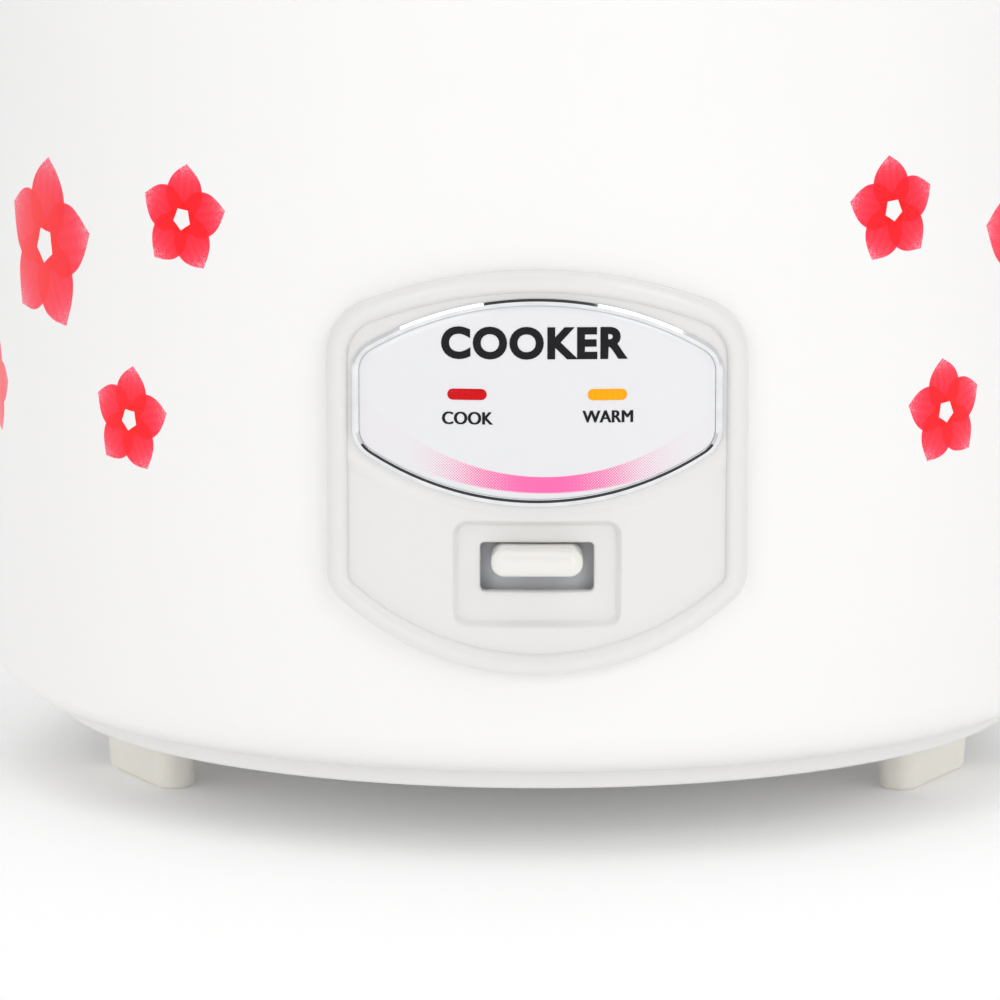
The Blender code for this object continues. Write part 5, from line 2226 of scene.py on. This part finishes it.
@dataclass
class Studio:
    """The floor, the lights and the camera."""

    distance: float = 1.100
    eye_height: float = 0.2278
    pitch: float = 8.657
    yaw: float = 0.468
    lens: float = 165.3
    sky: float = 0.76

    def camera(self) -> None:
        """The camera, in front of the panel and a little above it."""
        data = bpy.data.cameras.new("studio_camera")
        data.lens = self.lens
        data.sensor_width = 36.0
        data.clip_start = 0.05
        camera = bpy.data.objects.new("studio_camera", data)
        camera.location = (0.0, AXIS_Y * MM - self.distance, self.eye_height)
        camera.rotation_euler = (math.radians(90 - self.pitch), 0.0, math.radians(self.yaw))
        bpy.context.scene.collection.objects.link(camera)
        bpy.context.scene.camera = camera

    def softbox(
        self, name: str, place: Sequence[float], size: Point, power: float, aim: Sequence[float]
    ) -> None:
        """One rectangular soft light.

        Args:
            name: Its name.
            place: Where it hangs, in metres.
            size: Its width and height, in metres.
            power: Its power in watts.
            aim: The point that it faces.
        """
        data = bpy.data.lights.new(name, "AREA")
        data.shape = "RECTANGLE"
        data.size, data.size_y = size
        data.energy = power
        light = bpy.data.objects.new(name, data)
        light.location = place
        away = Vector(place) - Vector(aim)
        light.rotation_euler = away.to_track_quat("Z", "Y").to_euler()
        bpy.context.scene.collection.objects.link(light)

    def flag(self) -> None:
        """A tall black flag high behind the camera, for the bright trim to mirror."""
        shape = block((-0.58, -2.02, 0.5), (0.66, -2.0, 3.4))
        mesh = bpy.data.meshes.new("black_flag")
        shape.to_mesh(mesh)
        shape.free()
        mesh.materials.append(Look.BLACK.value.material())
        flag = bpy.data.objects.new("black_flag", mesh)
        bpy.context.scene.collection.objects.link(flag)
        flag.visible_camera = False

    def floor(self) -> None:
        """A wide pale floor."""
        shape = bmesh.new()
        bmesh.ops.create_grid(shape, x_segments=1, y_segments=1, size=12.0)
        mesh = bpy.data.meshes.new("studio_floor")
        shape.to_mesh(mesh)
        shape.free()
        mesh.materials.append(Look.FLOOR.value.material())
        floor = bpy.data.objects.new("studio_floor", mesh)
        bpy.context.scene.collection.objects.link(floor)

    def build(self) -> None:
        """Sets the studio up."""
        world = bpy.data.worlds.new("studio")
        world.use_nodes = True
        background = world.node_tree.nodes["Background"]
        background.inputs[0].default_value = (1.0, 1.0, 1.0, 1.0)
        background.inputs[1].default_value = self.sky
        bpy.context.scene.world = world
        bpy.context.scene.view_settings.view_transform = "Standard"
        self.camera()
        self.floor()
        self.flag()
        middle = (0.0, 0.0, 0.12)
        self.softbox("key_softbox", (0.9, -1.9, 1.1), (1.3, 1.3), 11.0, middle)
        self.softbox("fill_softbox", (-0.9, -2.0, 0.8), (1.2, 1.2), 6.5, middle)
        self.softbox("top_softbox", (0.0, -0.5, 2.2), (2.0, 2.0), 7.0, middle)


def dress_kept_nodes(frame: dict[str, Any]) -> None:
    """Gives every CAD node the finish of its slot, in case it stays in view.

    Args:
        frame: The loaded frame.
    """
    slots = {part["node"]: part["material_slot"] for part in frame["record"]["subparts"]}
    for name, node in frame["nodes"].items():
        look = SLOT_LOOKS[slots[name]]
        node.data.materials.clear()
        node.data.materials.append(look.value.material())


def main() -> None:
    """Loads the frame and builds the cooker and its studio."""
    logging.basicConfig(level=logging.INFO, format="%(name)s: %(message)s")
    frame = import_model()
    Studio().build()
    dress_kept_nodes(frame)
    base = "cooker_base"
    lid = Lid("lid")
    assemblies = (
        Drum(base),
        ControlPanel(base),
        CookSwitch("slider"),
        TopRing(base),
        CookingChamber(base),
        Pot("pot"),
        lid,
        Latch("latch", lid),
        SteamCap("steam_cap_body"),
        BailHandle("handle"),
        RearFittings(base),
        DewCup("dew_cup"),
    )
    for assembly in assemblies:
        assembly.build()


if __name__ == "__main__":
    main()
